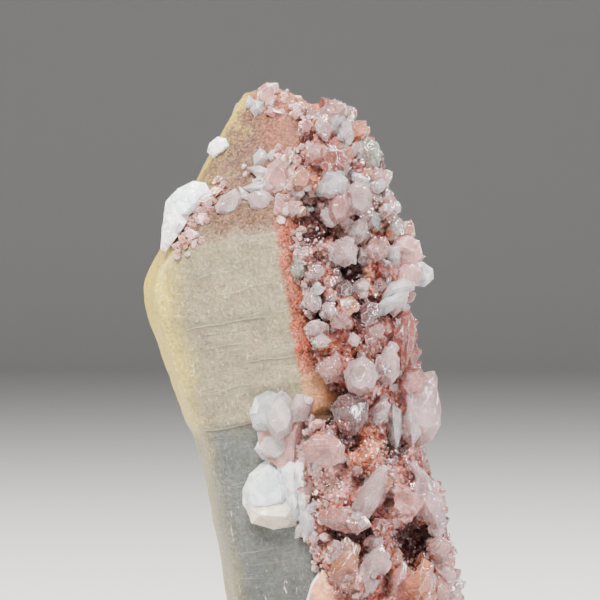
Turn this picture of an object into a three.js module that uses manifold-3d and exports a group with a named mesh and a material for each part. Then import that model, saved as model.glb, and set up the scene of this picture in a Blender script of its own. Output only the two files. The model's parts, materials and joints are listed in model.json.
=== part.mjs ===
// Scepter quartz specimen: a leaning quartz crystal whose wide head sits on a narrower stem,
// with a red crust of small crystals down its right side and pale crystals perched on it.
// Millimetres, +Z up. The origin is the middle of the flat cut that the stem stands on.
// The front, towards -Y, is the side with the broad bare face.
import * as THREE from 'three';
import { mergeVertices } from 'three/addons/utils/BufferGeometryUtils.js';
import Module from 'manifold-3d';

const wasm = await Module();
wasm.setup();

// Driving dimensions of the main crystal
const LEAN = 11; // degrees that the long axis leans to the left
const HEAD_RADIUS = 22; // axis to corner of the head at its widest
const STEM_RADIUS = 17.7; // axis to corner of the stem
const LEDGE_HEIGHT = 43; // underside of the head, along the axis
const LEDGE_RADIUS = 19; // axis to corner at the head's underside
const WAIST_HEIGHT = 61.7; // the head is at its widest from here up
const TERRACE_HEIGHTS = [47.5, 52.2, 58.3, 66]; // growth steps round the head
const STEM_TERRACES = [12, 26, 37]; // fainter growth steps round the stem
const TERRACE_DEPTH = 0.35;
const TIP_ANGLE = 38.2; // degrees between a tip face and the long axis
const TOP_OF_ALL = 120; // above the highest point of the crystal

// Six side faces: compass direction from the front towards the right in degrees, distance
// from the axis on the widest part, and the height at which the tip face above it would
// meet the axis.
const FACES = [
  { facing: -23, apothem: 19.05, peak: 94.4 },
  { facing: 37, apothem: 19.05, peak: 101.2 },
  { facing: 97, apothem: 16.5, peak: 101.2 },
  { facing: 157, apothem: 19.05, peak: 89.7 },
  { facing: 217, apothem: 19.05, peak: 90.4 },
  { facing: 277, apothem: 19.05, peak: 90.4 },
];

// Driving dimensions of the crust
const GAP = 0.3; // clearance between touching pieces
const CRUST_TOP = 88.5;
const CRUST_COLUMNS = 45; // steps round the axis
const CRUST_ROWS = 30; // steps along the axis
const CRUST_THIN = 0.9; // thickness along the crust's edge
const CRUST_BODY = 3.1; // usual thickness on the front right face
const CRUST_UNEVEN = 0.9; // usual height of its bumps
const CRUST_FEATHER = 9; // degrees over which the edge thickens
const CRUST_SEED = 11;
// Where the crust begins, [height, compass direction] up its front and its back edge
const CRUST_FRONT_EDGE = [
  [-20, -8], [20, -8], [38, -6], [41, 6], [43.5, 19], [48, 19],
  [52, 10], [70, 8], [75, 13], [82, 30], [90, 52],
];
const CRUST_BACK_EDGE = [
  [-20, 160], [15, 152], [30, 165], [48, 150], [62, 158], [75, 140], [84, 118], [90, 96],
];
// How far to the right the crust reaches at each height: [height, distance from the axis]
const CRUST_REACH = [
  [-20, 18.6], [10.7, 18.6], [15, 17.5], [17, 18.5], [22, 17.9], [26, 18.4], [30.5, 17.0],
  [34, 16.2], [38, 18.0], [44, 18.4], [46.5, 17.5], [50, 18.6], [53, 18.4], [56, 18.0],
  [58, 19.2], [62, 20.2], [66, 20.2], [70.5, 19.0], [74.5, 18.9], [78.5, 18.8], [82, 17.2],
  [86, 14.3], [90, 11.0],
];
// Broad lumps and hollows: [compass direction, height, width, rise], a hollow sinks
const CRUST_LUMPS = [
  [22, 71.5, 4.5, -2.2], [30, 62, 2.6, -2.0], [46, 82, 6, 1.3], [44, 73.5, 5, 1.4],
  [52, 61, 6, 1.2], [40, 56.5, 4.5, 0.9], [30, 48.5, 5, 1.2], [26, 43, 5, -1.8],
  [28, 39, 6, 1.6], [34, 35, 5.5, 1.5], [12, 35, 5, 1.2], [52, 27, 7, 1.8],
  [14, 27.5, 5.5, 1.4], [12, 22.5, 2.6, -1.8], [18, 19, 5.5, 1.5], [48, 15, 7, 1.6],
  [45, 21.5, 2.6, -1.4], [72, 34, 4, -1.0], [8, 12, 6, 1.2], [30, 6, 8, 1.4],
  [80, 45, 9, 0.8], [96, 66, 8, 1.2], [115, 50, 9, 1.3], [125, 30, 9, 1.4],
  [108, 14, 9, 1.2], [140, 8, 7, 1.1], [135, 66, 7, 1.0], [100, 80, 6, 0.8],
];

// A crystal's row is [x, z, length, radius, lean, toward, rise]: the middle of the crystal
// as seen from the front, its length and radius, the degrees that its point leans to the
// right, the degrees that it turns towards the front, and how far its middle stands
// in front of its seat. The seat is a number of radii in front of the surface behind it.
const FUSED_SEAT = 0.35; // crystals of the crust
const PERCHED_SEAT = 0.65; // crystals of the perched clusters
const RIDGE_SHARE = 0.85; // of a crystal's radius, for the ridge that joins two roots
const OVERLAP_SHARE = 0.8; // of two radii: crystals whose middles are closer overlap
const TIP_CRYSTALS = [
  [-16.5, 87.3, 4.2, 2.1, -25, 25, 0.3],
  [-14.4, 87.9, 4.0, 1.7, 55, 20, 0.4],
  [-12.5, 90.0, 5.1, 2.1, 22, 10, 0.0],
  [-13.9, 90.0, 3.7, 1.6, -35, 15, 0.0],
  [-11.6, 87.4, 4.0, 1.3, 72, 20, 0.3],
];
const BEAD_CRYSTAL = [
  [-20.1, 82.0, 4.3, 1.8, 45, 20, 0.2],
];
const SHOULDER_CRYSTALS = [
  [-25.4, 73.4, 7.6, 3.2, 40, 25, 0.2],
  [-23.3, 75.4, 5.2, 2.6, 62, 22, 0.2],
  [-26.9, 70.4, 5.2, 2.3, 18, 20, 0.1],
  [-27.6, 67.6, 4.8, 1.6, 8, 12, 0.0],
  [-24.3, 69.0, 4.6, 2.4, -15, 45, 0.3],
  [-22.2, 71.2, 4.4, 2.4, 20, 50, 0.4],
  [-22.4, 67.3, 3.6, 1.7, -40, 45, 0.2],
  [-20.3, 75.2, 5.0, 1.7, 64, 25, 0.2],
  [-20.4, 72.6, 3.4, 1.4, 15, 40, 0.2],
];
const RIDGE_CRYSTALS = [
  [-18.2, 73.6, 5.3, 2.5, 50, 30, 0.5],
  [-15.6, 74.6, 4.2, 1.1, 145, 15, 0.4],
  [-13.2, 74.1, 5.1, 2.5, 10, 40, 0.6],
  [-14.2, 75.9, 4.6, 1.1, 78, 15, 0.5],
  [-13.5, 80.3, 4.6, 1.8, -18, 22, 0.5],
  [-13.7, 78.2, 5.1, 1.6, -66, 15, 0.5],
  [-11.2, 77.2, 7.3, 2.8, 6, 25, 0.7],
  [-9.3, 80.0, 4.2, 1.8, 30, 25, 0.5],
  [-10.6, 73.5, 4.0, 1.6, -30, 40, 0.5],
  [-9.2, 72.7, 3.1, 1.2, 20, 45, 0.5],
];
const KNEE_CRYSTALS = [
  [-13.9, 42.7, 6.8, 1.9, 14, 20, 1.2],
  [-11.2, 42.9, 7.3, 2.8, 8, 30, 1.4],
  [-8.7, 40.2, 8.4, 1.7, 24, 20, 1.5],
  [-12.0, 38.1, 5.9, 2.6, -58, 30, 1.3],
  [-9.4, 38.0, 5.9, 2.2, 15, 30, 1.5],
];
const WHITE_BLOCK = [
  [-12.3, 30.3, 10.4, 4.2, -6, 16, 1.8],
  [-13.2, 28.6, 7.4, 3.6, 10, 20, 1.8],
  [-9.3, 30.8, 9.6, 2.0, -4, 15, 2.4],
  [-10.6, 34.9, 4.4, 1.5, 20, 25, 1.8],
];
const FOOT_CRYSTALS = [
  [-6.3, 26.4, 6.2, 1.7, 14, 25, 3.0],
  [-7.4, 25.2, 3.7, 1.2, 40, 25, 2.2],
];
const BASE_BLADE = [
  [-4.7, 12.8, 14.6, 3.0, 9, 8, 2.4],
];
const OUTRIGGER_BLOCKS = [
  [9.6, 46.2, 7.4, 2.7, 62, 10, 0.6],
  [10.0, 41.6, 9.4, 3.4, 4, 15, 0.9],
  [11.9, 42.2, 8.6, 1.7, -4, 6, 0.0],
  [6.3, 40.6, 6.6, 1.3, 4, 14, 0.9],
];
const LONG_POINTERS = [
  [9.4, 63.0, 6.6, 2.0, 80, 8, 0.6],
  [6.5, 60.1, 6.8, 2.8, 203, 10, 1.2],
  [8.3, 66.6, 5.0, 2.2, 55, 12, 0.6],
];
const FLANK_CRYSTALS = [
  [-2.4, 87.0, 4.6, 2.2, 0, 12, 0.2],
  [-2.4, 84.9, 4.0, 1.0, 2, 30, 0.7],
  [-4.1, 84.6, 4.6, 1.4, -16, 28, 0.4],
  [-0.9, 84.0, 5.0, 1.4, 20, 24, 0.5],
  [-0.7, 86.3, 4.0, 1.4, 36, 15, 0.2],
  [0.9, 84.4, 3.8, 1.4, 42, 12, 0.2],
  [3.0, 80.9, 5.6, 1.3, -14, 6, 0.0],
  [4.0, 76.9, 3.8, 1.1, 4, 5, 0.0],
  [-6.9, 84.6, 3.6, 1.2, 10, 35, 0.3],
  [-5.5, 80.6, 3.6, 1.4, -20, 40, 0.4],
  [-2.4, 79.8, 4.0, 2.0, 4, 42, 0.7],
  [-2.9, 76.3, 5.0, 2.0, -26, 34, 0.8],
  [0.7, 77.3, 3.8, 0.9, 100, 12, 0.7],
  [0.9, 74.2, 5.4, 2.0, 15, 40, 0.9],
  [-1.7, 73.0, 5.0, 1.9, -10, 42, 0.7],
  [-7.4, 77.0, 4.4, 1.5, 10, 35, 0.5],
  [1.0, 69.5, 5.6, 1.2, 19, 25, 0.8],
  [4.9, 74.4, 2.8, 1.0, 12, 12, 0.3],
  [5.2, 72.6, 3.4, 1.1, 58, 12, 0.3],
  [6.5, 70.0, 3.2, 1.0, 20, 20, 0.4],
  [8.4, 69.3, 4.0, 0.9, 12, 10, 0.2],
  [-1.3, 66.4, 4.2, 1.9, -10, 58, 0.9],
  [3.6, 66.8, 4.4, 1.6, 30, 45, 0.8],
  [-8.2, 63.7, 4.2, 1.1, 6, 22, 0.7],
  [-5.4, 63.6, 3.0, 1.1, 30, 40, 0.6],
  [-5.1, 61.1, 2.8, 0.9, 78, 30, 0.6],
  [-5.8, 59.0, 3.6, 1.2, -12, 35, 0.5],
  [-3.6, 57.8, 3.8, 1.2, 8, 42, 0.7],
  [-1.9, 56.3, 4.0, 1.5, -15, 50, 0.7],
  [-0.6, 58.6, 3.4, 1.5, 178, 24, 0.8],
  [-5.4, 55.3, 4.0, 1.2, 62, 30, 0.6],
  [-4.6, 53.7, 3.4, 1.2, 95, 30, 0.6],
  [0.2, 53.6, 3.0, 1.1, 20, 50, 0.6],
  [3.2, 55.0, 3.6, 1.6, 40, 40, 0.5],
  [4.6, 63.8, 3.8, 1.5, -30, 40, 0.6],
  [-1.2, 61.0, 3.4, 1.2, 30, 40, 0.6],
  [1.3, 61.2, 3.6, 1.3, 15, 40, 0.7],
  [2.7, 57.8, 3.8, 1.7, -10, 45, 0.6],
  [7.9, 53.4, 9.8, 1.8, 8, 8, 0.0],
  [5.2, 50.0, 6.2, 1.7, 8, 28, 0.8],
  [1.2, 48.2, 6.0, 2.4, -8, 48, 0.9],
  [-3.4, 49.4, 4.6, 1.8, -14, 50, 0.6],
  [-0.6, 42.6, 6.6, 2.5, 0, 42, 0.8],
  [3.9, 42.7, 5.0, 1.4, 40, 30, 0.8],
  [-4.2, 37.6, 6.6, 1.9, 108, 26, 0.8],
  [2.0, 37.0, 5.0, 2.2, 20, 55, 0.5],
  [-6.8, 31.9, 2.8, 0.9, 10, 35, 0.6],
  [2.5, 30.4, 9.8, 1.7, 28, 18, 1.1],
  [-1.1, 27.3, 7.4, 1.6, 102, 26, 1.0],
  [4.1, 26.3, 3.6, 1.4, 0, 55, 0.8],
  [11.7, 29.0, 10.8, 1.9, -15, 8, 0.1],
  [8.4, 29.4, 5.4, 2.4, 20, 50, 0.6],
  [12.9, 22.0, 4.6, 1.8, 60, 20, 0.3],
  [14.0, 18.6, 4.0, 1.2, 130, 15, 0.1],
  [9.8, 17.0, 6.6, 2.4, 24, 42, 0.7],
  [3.6, 20.4, 5.8, 1.6, 32, 30, 0.8],
  [-2.2, 22.6, 4.8, 1.8, -16, 40, 0.7],
  [0.2, 17.8, 5.4, 1.9, 12, 42, 0.7],
  [5.6, 13.4, 6.0, 2.1, 16, 40, 0.7],
  [12.4, 12.0, 6.4, 2.0, 22, 25, 0.4],
  [0.8, 8.6, 5.8, 2.0, -14, 40, 0.6],
  [7.4, 6.0, 5.6, 2.2, 10, 40, 0.6],
  [14.8, 5.2, 5.0, 1.8, 34, 20, 0.4],
];
// Crystals scattered over the crust where it turns away to the right and the back
const SIDE_CRYSTALS = 34;
const SIDE_FROM = 86; // compass directions between which they are scattered
const SIDE_TO = 146;
const SIDE_LENGTH = [2.6, 5.6]; // the least where they are seen from the front
const SIDE_RADIUS = [1.1, 2.7];

const radians = THREE.MathUtils.degToRad;
const TIP_SPREAD = Math.tan(radians(TIP_ANGLE)); // growth of a tip face's distance per mm down
const leaning = new THREE.Matrix4().makeRotationY(-radians(LEAN));
const upright = leaning.clone().invert();

// Repeatable random numbers between 0 and 1
function randomStream(seed) {
  let state = seed;
  return () => {
    state = (state * 16807) % 2147483647;
    return state / 2147483647;
  };
}

// Value of a list of [place, value] points at a place, with straight lines between them
function along(points, place) {
  const after = points.findIndex(([at]) => at > place);
  if (after <= 0) {
    return after === 0 ? points[0][1] : points.at(-1)[1];
  }
  const [startAt, startValue] = points[after - 1];
  const [endAt, endValue] = points[after];
  return THREE.MathUtils.mapLinear(place, startAt, endAt, startValue, endValue);
}

function solidOf(geometry) {
  const bare = geometry.clone();
  bare.deleteAttribute('normal');
  bare.deleteAttribute('uv');
  const closed = mergeVertices(bare, 1e-5);
  return new wasm.Manifold(new wasm.Mesh({
    numProp: 3,
    vertProperties: Float32Array.from(closed.attributes.position.array),
    triVerts: Uint32Array.from(closed.index.array),
  }));
}

function geometryOf(solid) {
  const mesh = solid.getMesh();
  const geometry = new THREE.BufferGeometry();
  geometry.setAttribute('position', new THREE.BufferAttribute(mesh.vertProperties, 3));
  geometry.setIndex(new THREE.BufferAttribute(mesh.triVerts, 1));
  return geometry;
}

// The largest body of a solid, without the crumbs that a cut can leave loose
function mainBody(solid) {
  return solid.decompose().reduce((best, body) => (body.volume() > best.volume() ? body : best));
}

// Everything is cut off flat at the level that the specimen stands on
const groundBlock = solidOf(new THREE.BoxGeometry(300, 300, 100).translate(0, 0, -50));

// Corner of the widest section between one side face and the next
function sectionCorner(index) {
  const near = FACES[index];
  const far = FACES[(index + 1) % FACES.length];
  const nearAngle = radians(near.facing);
  const farAngle = radians(far.facing);
  const across = Math.sin(farAngle - nearAngle);
  const x = (near.apothem * -Math.cos(farAngle) + far.apothem * Math.cos(nearAngle)) / across;
  const y = (far.apothem * Math.sin(nearAngle) - near.apothem * Math.sin(farAngle)) / across;
  return new THREE.Vector2(x, y);
}

// A six-sided prism on the crystal's own axis. The profile lists [size, height], where a
// size of HEAD_RADIUS is the widest section.
function prism(profile, grow) {
  const points = profile.map(([size, height]) => new THREE.Vector2(size / HEAD_RADIUS, height));
  const geometry = new THREE.LatheGeometry(points, FACES.length).rotateX(Math.PI / 2);
  const corners = FACES.map((face, index) => sectionCorner(index));
  const place = geometry.attributes.position;
  for (let index = 0; index < place.count; index += 1) {
    const size = Math.hypot(place.getX(index), place.getY(index));
    const turn = Math.atan2(place.getX(index), -place.getY(index)) / (Math.PI * 2);
    const corner = corners[Math.round(turn * FACES.length + FACES.length) % FACES.length];
    const wider = size > 0 ? size + grow / HEAD_RADIUS : 0;
    place.setXY(index, corner.x * wider, corner.y * wider);
  }
  return solidOf(geometry);
}

// Profile of a shaft that widens by small growth steps
function steppedProfile(from, to, steps, sizeAt) {
  const profile = [[0, from], [sizeAt(from), from]];
  for (const step of steps) {
    profile.push([sizeAt(step) - TERRACE_DEPTH, step]);
    profile.push([sizeAt(step) + TERRACE_DEPTH / 2, step + TERRACE_DEPTH]);
  }
  profile.push([sizeAt(to), to], [0, to]);
  return profile;
}

function headSize(height) {
  return along([[LEDGE_HEIGHT, LEDGE_RADIUS], [WAIST_HEIGHT, HEAD_RADIUS]], height);
}

// Block that takes away everything outside one tip face
function tipCutter(face, grow) {
  const reach = 80;
  const block = new THREE.BoxGeometry(reach * 2, reach * 2, reach * 2);
  const turn = radians(face.facing);
  const rise = radians(TIP_ANGLE);
  const outward = new THREE.Vector3(
    Math.sin(turn) * Math.cos(rise),
    -Math.cos(turn) * Math.cos(rise),
    Math.sin(rise),
  );
  const away = face.peak * Math.sin(rise) + grow;
  const quaternion = new THREE.Quaternion().setFromUnitVectors(new THREE.Vector3(0, 0, 1), outward);
  block.applyQuaternion(quaternion).translate(...outward.multiplyScalar(away + reach).toArray());
  return solidOf(block);
}

// The main crystal, or with grow the space that its neighbours keep out of
function quartzSolid(grow) {
  const below = -30;
  const stemTop = LEDGE_HEIGHT + 5;
  const stemProfile = steppedProfile(below, stemTop, STEM_TERRACES, () => STEM_RADIUS);
  const headProfile = steppedProfile(LEDGE_HEIGHT, WAIST_HEIGHT, TERRACE_HEIGHTS.slice(0, 3), headSize);
  headProfile.pop();
  const topTerrace = TERRACE_HEIGHTS.at(-1);
  headProfile.push([HEAD_RADIUS - TERRACE_DEPTH, topTerrace]);
  headProfile.push([HEAD_RADIUS, topTerrace + TERRACE_DEPTH]);
  headProfile.push([HEAD_RADIUS, TOP_OF_ALL], [0, TOP_OF_ALL]);
  let solid = prism(stemProfile, grow).add(prism(headProfile, grow));
  for (const face of FACES) {
    solid = solid.subtract(tipCutter(face, grow));
  }
  return solid.transform(leaning.elements).subtract(groundBlock);
}

// Distance from the axis to the bare crystal in one direction at one height
function quartzReach(facing, height) {
  const size = height > LEDGE_HEIGHT ? headSize(height) : STEM_RADIUS;
  let reach = Infinity;
  for (const face of FACES) {
    const share = Math.cos(radians(facing - face.facing));
    if (share > 0.05) {
      const wall = face.apothem * (size / HEAD_RADIUS);
      const slope = Math.max(face.peak - height, 0) * TIP_SPREAD;
      reach = Math.min(reach, Math.min(wall, slope) / share);
    }
  }
  return reach;
}

// Fine unevenness of the crust, between -1 and 1
function unevenness(facing, height) {
  const turn = radians(facing);
  return 0.5 * Math.sin(turn * 23 + height * 0.9 + CRUST_SEED)
    + 0.3 * Math.sin(turn * 41 - height * 1.7)
    + 0.2 * Math.sin(turn * 13 - height * 2.3 + 1);
}

// Distance from the axis to the crust, or just inside the bare crystal where there is none
function crustReach(facing, height) {
  const quartz = quartzReach(facing, height);
  const front = along(CRUST_FRONT_EDGE, height) + 2.5 * unevenness(40, height * 2.1);
  const back = along(CRUST_BACK_EDGE, height) + 5 * unevenness(150, height * 1.3);
  const inside = Math.min(facing - front, back - facing);
  if (inside < 0 || height > CRUST_TOP) {
    return Math.max(quartz - 1.5, 0.02);
  }
  const feather = THREE.MathUtils.smoothstep(inside, 0, CRUST_FEATHER);
  let thickness = THREE.MathUtils.lerp(CRUST_THIN, CRUST_BODY, feather);
  thickness += CRUST_UNEVEN * unevenness(facing, height) * feather;
  const pastFront = THREE.MathUtils.smoothstep(facing, 48, 66);
  const beforeBack = 1 - THREE.MathUtils.smoothstep(facing, 104, 122);
  const side = pastFront * beforeBack;
  const sideReach = along(CRUST_REACH, height) / Math.max(Math.sin(radians(facing)), 0.3);
  const sideThickness = sideReach - quartz + CRUST_UNEVEN * unevenness(facing, height);
  thickness = THREE.MathUtils.lerp(thickness, sideThickness, side);
  for (const [lumpFacing, lumpHeight, width, rise] of CRUST_LUMPS) {
    const turnAway = radians(facing - lumpFacing) * quartz;
    const away = Math.hypot(turnAway, height - lumpHeight) / width;
    thickness += rise * Math.max(1 - away * away, 0) * (1 - side * 0.7) * feather;
  }
  return quartz + Math.max(thickness, CRUST_THIN);
}

// The crust's outside as a body round the axis. The crystal is cut out of it afterwards.
function crustBody() {
  const below = -26;
  const height = CRUST_TOP + 1.5 - below;
  const geometry = new THREE.CylinderGeometry(1, 1, height, CRUST_COLUMNS, CRUST_ROWS);
  geometry.translate(0, height / 2 + below, 0).rotateX(Math.PI / 2);
  const place = geometry.attributes.position;
  for (let index = 0; index < place.count; index += 1) {
    const x = place.getX(index);
    const y = place.getY(index);
    if (Math.hypot(x, y) > 0.5) {
      const turn = THREE.MathUtils.radToDeg(Math.atan2(x, -y));
      const facing = turn < -90 ? turn + 360 : turn;
      const reach = crustReach(facing, place.getZ(index));
      place.setXY(index, x * reach, y * reach);
    }
  }
  return solidOf(geometry).transform(leaning.elements);
}

// Depth at which a look from the front meets the crust or the bare crystal at x and z.
// Where the look passes beside them, it is moved in towards the axis until it meets them.
function surfaceDepth(x, z) {
  const step = 0.2;
  const axisX = -z * Math.tan(radians(LEAN));
  for (let lookX = x; Math.abs(lookX - axisX) > 1; lookX += Math.sign(axisX - x) * 0.5) {
    for (let y = -40; y < 12; y += step) {
      const own = new THREE.Vector3(lookX, y, z).applyMatrix4(upright);
      const turn = THREE.MathUtils.radToDeg(Math.atan2(own.x, -own.y));
      const facing = turn < -90 ? turn + 360 : turn;
      const reach = Math.max(crustReach(facing, own.z), quartzReach(facing, own.z));
      if (Math.hypot(own.x, own.y) < reach) {
        return y;
      }
    }
  }
  return 0;
}

// A stubby crystal along +Z with a low point at each end
function crystalGeometry(length, radius, squash, sides = 6) {
  const profile = [
    [0, 0],
    [radius, length * 0.22],
    [radius * 0.84, length * 0.74],
    [0, length],
  ].map(([size, height]) => new THREE.Vector2(size, height));
  const geometry = new THREE.LatheGeometry(profile, sides).rotateX(Math.PI / 2);
  return geometry.scale(1, squash, 1);
}

// The middle of a table's crystal
function crystalMiddle([x, z, , radius, , , rise], seat) {
  return new THREE.Vector3(x, surfaceDepth(x, z) - rise - radius * seat, z);
}

// One crystal of a table as a solid. With grow it is the space its neighbours keep out of.
function crystalSolid(row, index, seat, grow) {
  const [, , length, radius, lean, toward] = row;
  const spin = radians((index * 37) % 60);
  const squash = 0.84 + ((index * 29) % 13) / 60;
  const geometry = crystalGeometry(length + 2 * grow, radius + grow, squash).rotateZ(spin);
  geometry.translate(0, 0, -length / 2 - grow);
  geometry.rotateX(radians(toward)).rotateY(radians(lean));
  geometry.translate(...crystalMiddle(row, seat).toArray());
  return solidOf(geometry);
}

// Low ridge where the roots of two neighbouring crystals have grown together
function rootRidge(start, end, radius, grow) {
  const span = end.clone().sub(start);
  const length = span.length() + radius;
  const geometry = crystalGeometry(length + 2 * grow, radius + grow, 1, 4);
  geometry.translate(0, 0, -length / 2 - grow);
  const upwards = new THREE.Vector3(0, 0, 1);
  const turn = new THREE.Quaternion().setFromUnitVectors(upwards, span.normalize());
  geometry.applyQuaternion(turn).translate(...start.clone().lerp(end, 0.5).toArray());
  return solidOf(geometry);
}

// A cluster: its crystals, each joined by a ridge to the nearest one listed before it
// unless they overlap anyway
function clusterSolid(rows, grow) {
  const middles = rows.map((row) => crystalMiddle(row, PERCHED_SEAT));
  let whole = crystalSolid(rows[0], 0, PERCHED_SEAT, grow);
  for (let index = 1; index < rows.length; index += 1) {
    const earlier = middles.slice(0, index);
    const spans = earlier.map((middle) => middle.distanceTo(middles[index]));
    const nearest = spans.indexOf(Math.min(...spans));
    const [radius, otherRadius] = [rows[index][3], rows[nearest][3]];
    whole = whole.add(crystalSolid(rows[index], index, PERCHED_SEAT, grow));
    if (spans[nearest] > (radius + otherRadius) * OVERLAP_SHARE) {
      const ridgeRadius = Math.min(radius, otherRadius) * RIDGE_SHARE;
      whole = whole.add(rootRidge(middles[index], middles[nearest], ridgeRadius, grow));
    }
  }
  return whole.subtract(groundBlock);
}

// Crystals that stand out from the crust's right and back, at repeatable random places
function sideCrystals() {
  const random = randomStream(CRUST_SEED);
  const solids = [];
  for (let index = 0; index < SIDE_CRYSTALS; index += 1) {
    const height = 3 + (index + 0.3 + 0.5 * random()) * (80 / SIDE_CRYSTALS);
    const facing = THREE.MathUtils.lerp(SIDE_FROM, SIDE_TO, (index * 0.618 + 0.2 * random()) % 1);
    const hidden = THREE.MathUtils.smoothstep(facing, SIDE_FROM, SIDE_FROM + 30);
    const length = THREE.MathUtils.lerp(...SIDE_LENGTH, hidden * (0.4 + 0.6 * random()));
    const radius = THREE.MathUtils.lerp(...SIDE_RADIUS, hidden * (0.3 + 0.7 * random()));
    const geometry = crystalGeometry(length, radius, 0.9).rotateZ(random() * 2);
    geometry.translate(0, 0, -length * 0.5);
    geometry.rotateX(radians(20 + 45 * random())).rotateY(radians(60 * random() - 30));
    geometry.translate(0, -crustReach(facing, height) + 0.6 - 0.5 * hidden, 0).rotateZ(radians(facing));
    geometry.translate(0, 0, height).applyMatrix4(leaning);
    solids.push(solidOf(geometry));
  }
  return solids;
}

// Each perched cluster, in the order in which they make room for one another
const clusters = [
  { name: 'tip_crystals', rows: TIP_CRYSTALS, colour: 0xe0d6cf, roughness: 0.35 },
  { name: 'bead_crystal', rows: BEAD_CRYSTAL, colour: 0xebe9e6, roughness: 0.35 },
  { name: 'shoulder_crystals', rows: SHOULDER_CRYSTALS, colour: 0xdccfc9, roughness: 0.45 },
  { name: 'ridge_crystals', rows: RIDGE_CRYSTALS, colour: 0xd8c3bb, roughness: 0.35 },
  { name: 'knee_crystals', rows: KNEE_CRYSTALS, colour: 0xdcd2cd, roughness: 0.35 },
  { name: 'white_block', rows: WHITE_BLOCK, colour: 0xe4e4e3, roughness: 0.4 },
  { name: 'foot_crystals', rows: FOOT_CRYSTALS, colour: 0xd9cec6, roughness: 0.35 },
  { name: 'base_blade', rows: BASE_BLADE, colour: 0xe0c4b4, roughness: 0.4 },
  { name: 'outrigger_blocks', rows: OUTRIGGER_BLOCKS, colour: 0xc9b5b1, roughness: 0.35 },
  { name: 'long_pointers', rows: LONG_POINTERS, colour: 0xd9c5c0, roughness: 0.35 },
];

const specimen = new THREE.Group();
specimen.name = 'scepter_quartz_specimen';

function addPiece(name, solid, color, roughness, anchor) {
  const material = new THREE.MeshStandardMaterial({ color, roughness, metalness: 0 });
  const geometry = geometryOf(solid).translate(-anchor.x, -anchor.y, -anchor.z);
  const mesh = new THREE.Mesh(geometry, material);
  mesh.name = name;
  mesh.position.copy(anchor);
  specimen.add(mesh);
}

const origin = new THREE.Vector3();
const quartzRoom = quartzSolid(GAP);
addPiece('quartz_scepter', quartzSolid(0), 0xc1b89b, 0.5, origin);

let taken = quartzRoom;
let crust = crustBody();
for (const cluster of clusters) {
  const solid = mainBody(clusterSolid(cluster.rows, 0).subtract(taken));
  const [firstX, firstZ] = cluster.rows[0];
  const anchor = new THREE.Vector3(firstX, surfaceDepth(firstX, firstZ), firstZ);
  addPiece(cluster.name, solid, cluster.colour, cluster.roughness, anchor);
  taken = taken.add(clusterSolid(cluster.rows, GAP));
}

FLANK_CRYSTALS.forEach((row, index) => {
  crust = crust.add(crystalSolid(row, index, FUSED_SEAT, 0));
});
for (const crystal of sideCrystals()) {
  crust = crust.add(crystal);
}
crust = mainBody(crust.subtract(groundBlock).subtract(taken));
addPiece('flank_crust', crust, 0x9c5c52, 0.75, origin);

export default specimen;
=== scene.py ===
"""Scepter quartz specimen: a cloudy leaning crystal, its red crust and its pale crystals."""

import itertools
import json
import math

import bmesh
import bpy
import numpy as np
from mathutils import Matrix, Vector
from mathutils.bvhtree import BVHTree

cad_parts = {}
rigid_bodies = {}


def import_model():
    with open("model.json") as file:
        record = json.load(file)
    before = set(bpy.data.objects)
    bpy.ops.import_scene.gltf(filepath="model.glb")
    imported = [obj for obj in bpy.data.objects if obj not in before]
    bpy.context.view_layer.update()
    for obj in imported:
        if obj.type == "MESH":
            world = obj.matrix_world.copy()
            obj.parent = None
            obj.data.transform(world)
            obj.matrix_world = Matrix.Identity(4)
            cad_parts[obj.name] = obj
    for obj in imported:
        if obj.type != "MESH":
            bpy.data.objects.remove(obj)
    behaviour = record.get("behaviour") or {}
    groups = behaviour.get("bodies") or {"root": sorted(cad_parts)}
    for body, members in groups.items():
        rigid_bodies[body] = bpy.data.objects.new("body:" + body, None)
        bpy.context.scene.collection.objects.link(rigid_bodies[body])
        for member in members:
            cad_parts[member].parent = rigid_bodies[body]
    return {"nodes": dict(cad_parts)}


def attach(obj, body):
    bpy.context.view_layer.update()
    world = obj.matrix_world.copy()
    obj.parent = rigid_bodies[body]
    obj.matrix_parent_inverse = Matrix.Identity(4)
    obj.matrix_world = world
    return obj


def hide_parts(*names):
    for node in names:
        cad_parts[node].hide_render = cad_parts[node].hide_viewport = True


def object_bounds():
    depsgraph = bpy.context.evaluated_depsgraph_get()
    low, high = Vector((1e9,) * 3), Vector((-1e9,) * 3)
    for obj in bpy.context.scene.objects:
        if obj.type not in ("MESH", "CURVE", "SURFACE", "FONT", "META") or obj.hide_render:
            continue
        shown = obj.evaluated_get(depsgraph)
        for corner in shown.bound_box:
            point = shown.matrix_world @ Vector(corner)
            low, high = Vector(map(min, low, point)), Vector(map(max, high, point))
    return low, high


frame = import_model()
cad_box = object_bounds()

# Camera
# It looks level at the broad bare face, far enough off to see the crystal almost without
# perspective. The view is 90 mm wide and leaves the foot of the specimen below its edge.
VIEW_WIDTH = 0.090
VIEW_DISTANCE = 0.60
VIEW_CENTRE = Vector((-0.0077, -0.008, 0.0591))
VIEW_RISE = math.radians(1.5)
SENSOR_WIDTH = 36.0
NEAR_CLIP = 0.01


def new_object(name, data):
    """A new object with that data, in the scene."""
    thing = bpy.data.objects.new(name, data)
    bpy.context.scene.collection.objects.link(thing)
    return thing


camera_data = bpy.data.cameras.new("camera")
camera_data.sensor_width = SENSOR_WIDTH
camera_data.lens = SENSOR_WIDTH * VIEW_DISTANCE / VIEW_WIDTH
camera_data.clip_start = NEAR_CLIP
camera = new_object("camera", camera_data)
camera.location = VIEW_CENTRE + VIEW_DISTANCE * Vector((0, -math.cos(VIEW_RISE), math.sin(VIEW_RISE)))
camera.rotation_euler = (math.pi / 2 - VIEW_RISE, 0, 0)
bpy.context.scene.camera = camera

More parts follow.
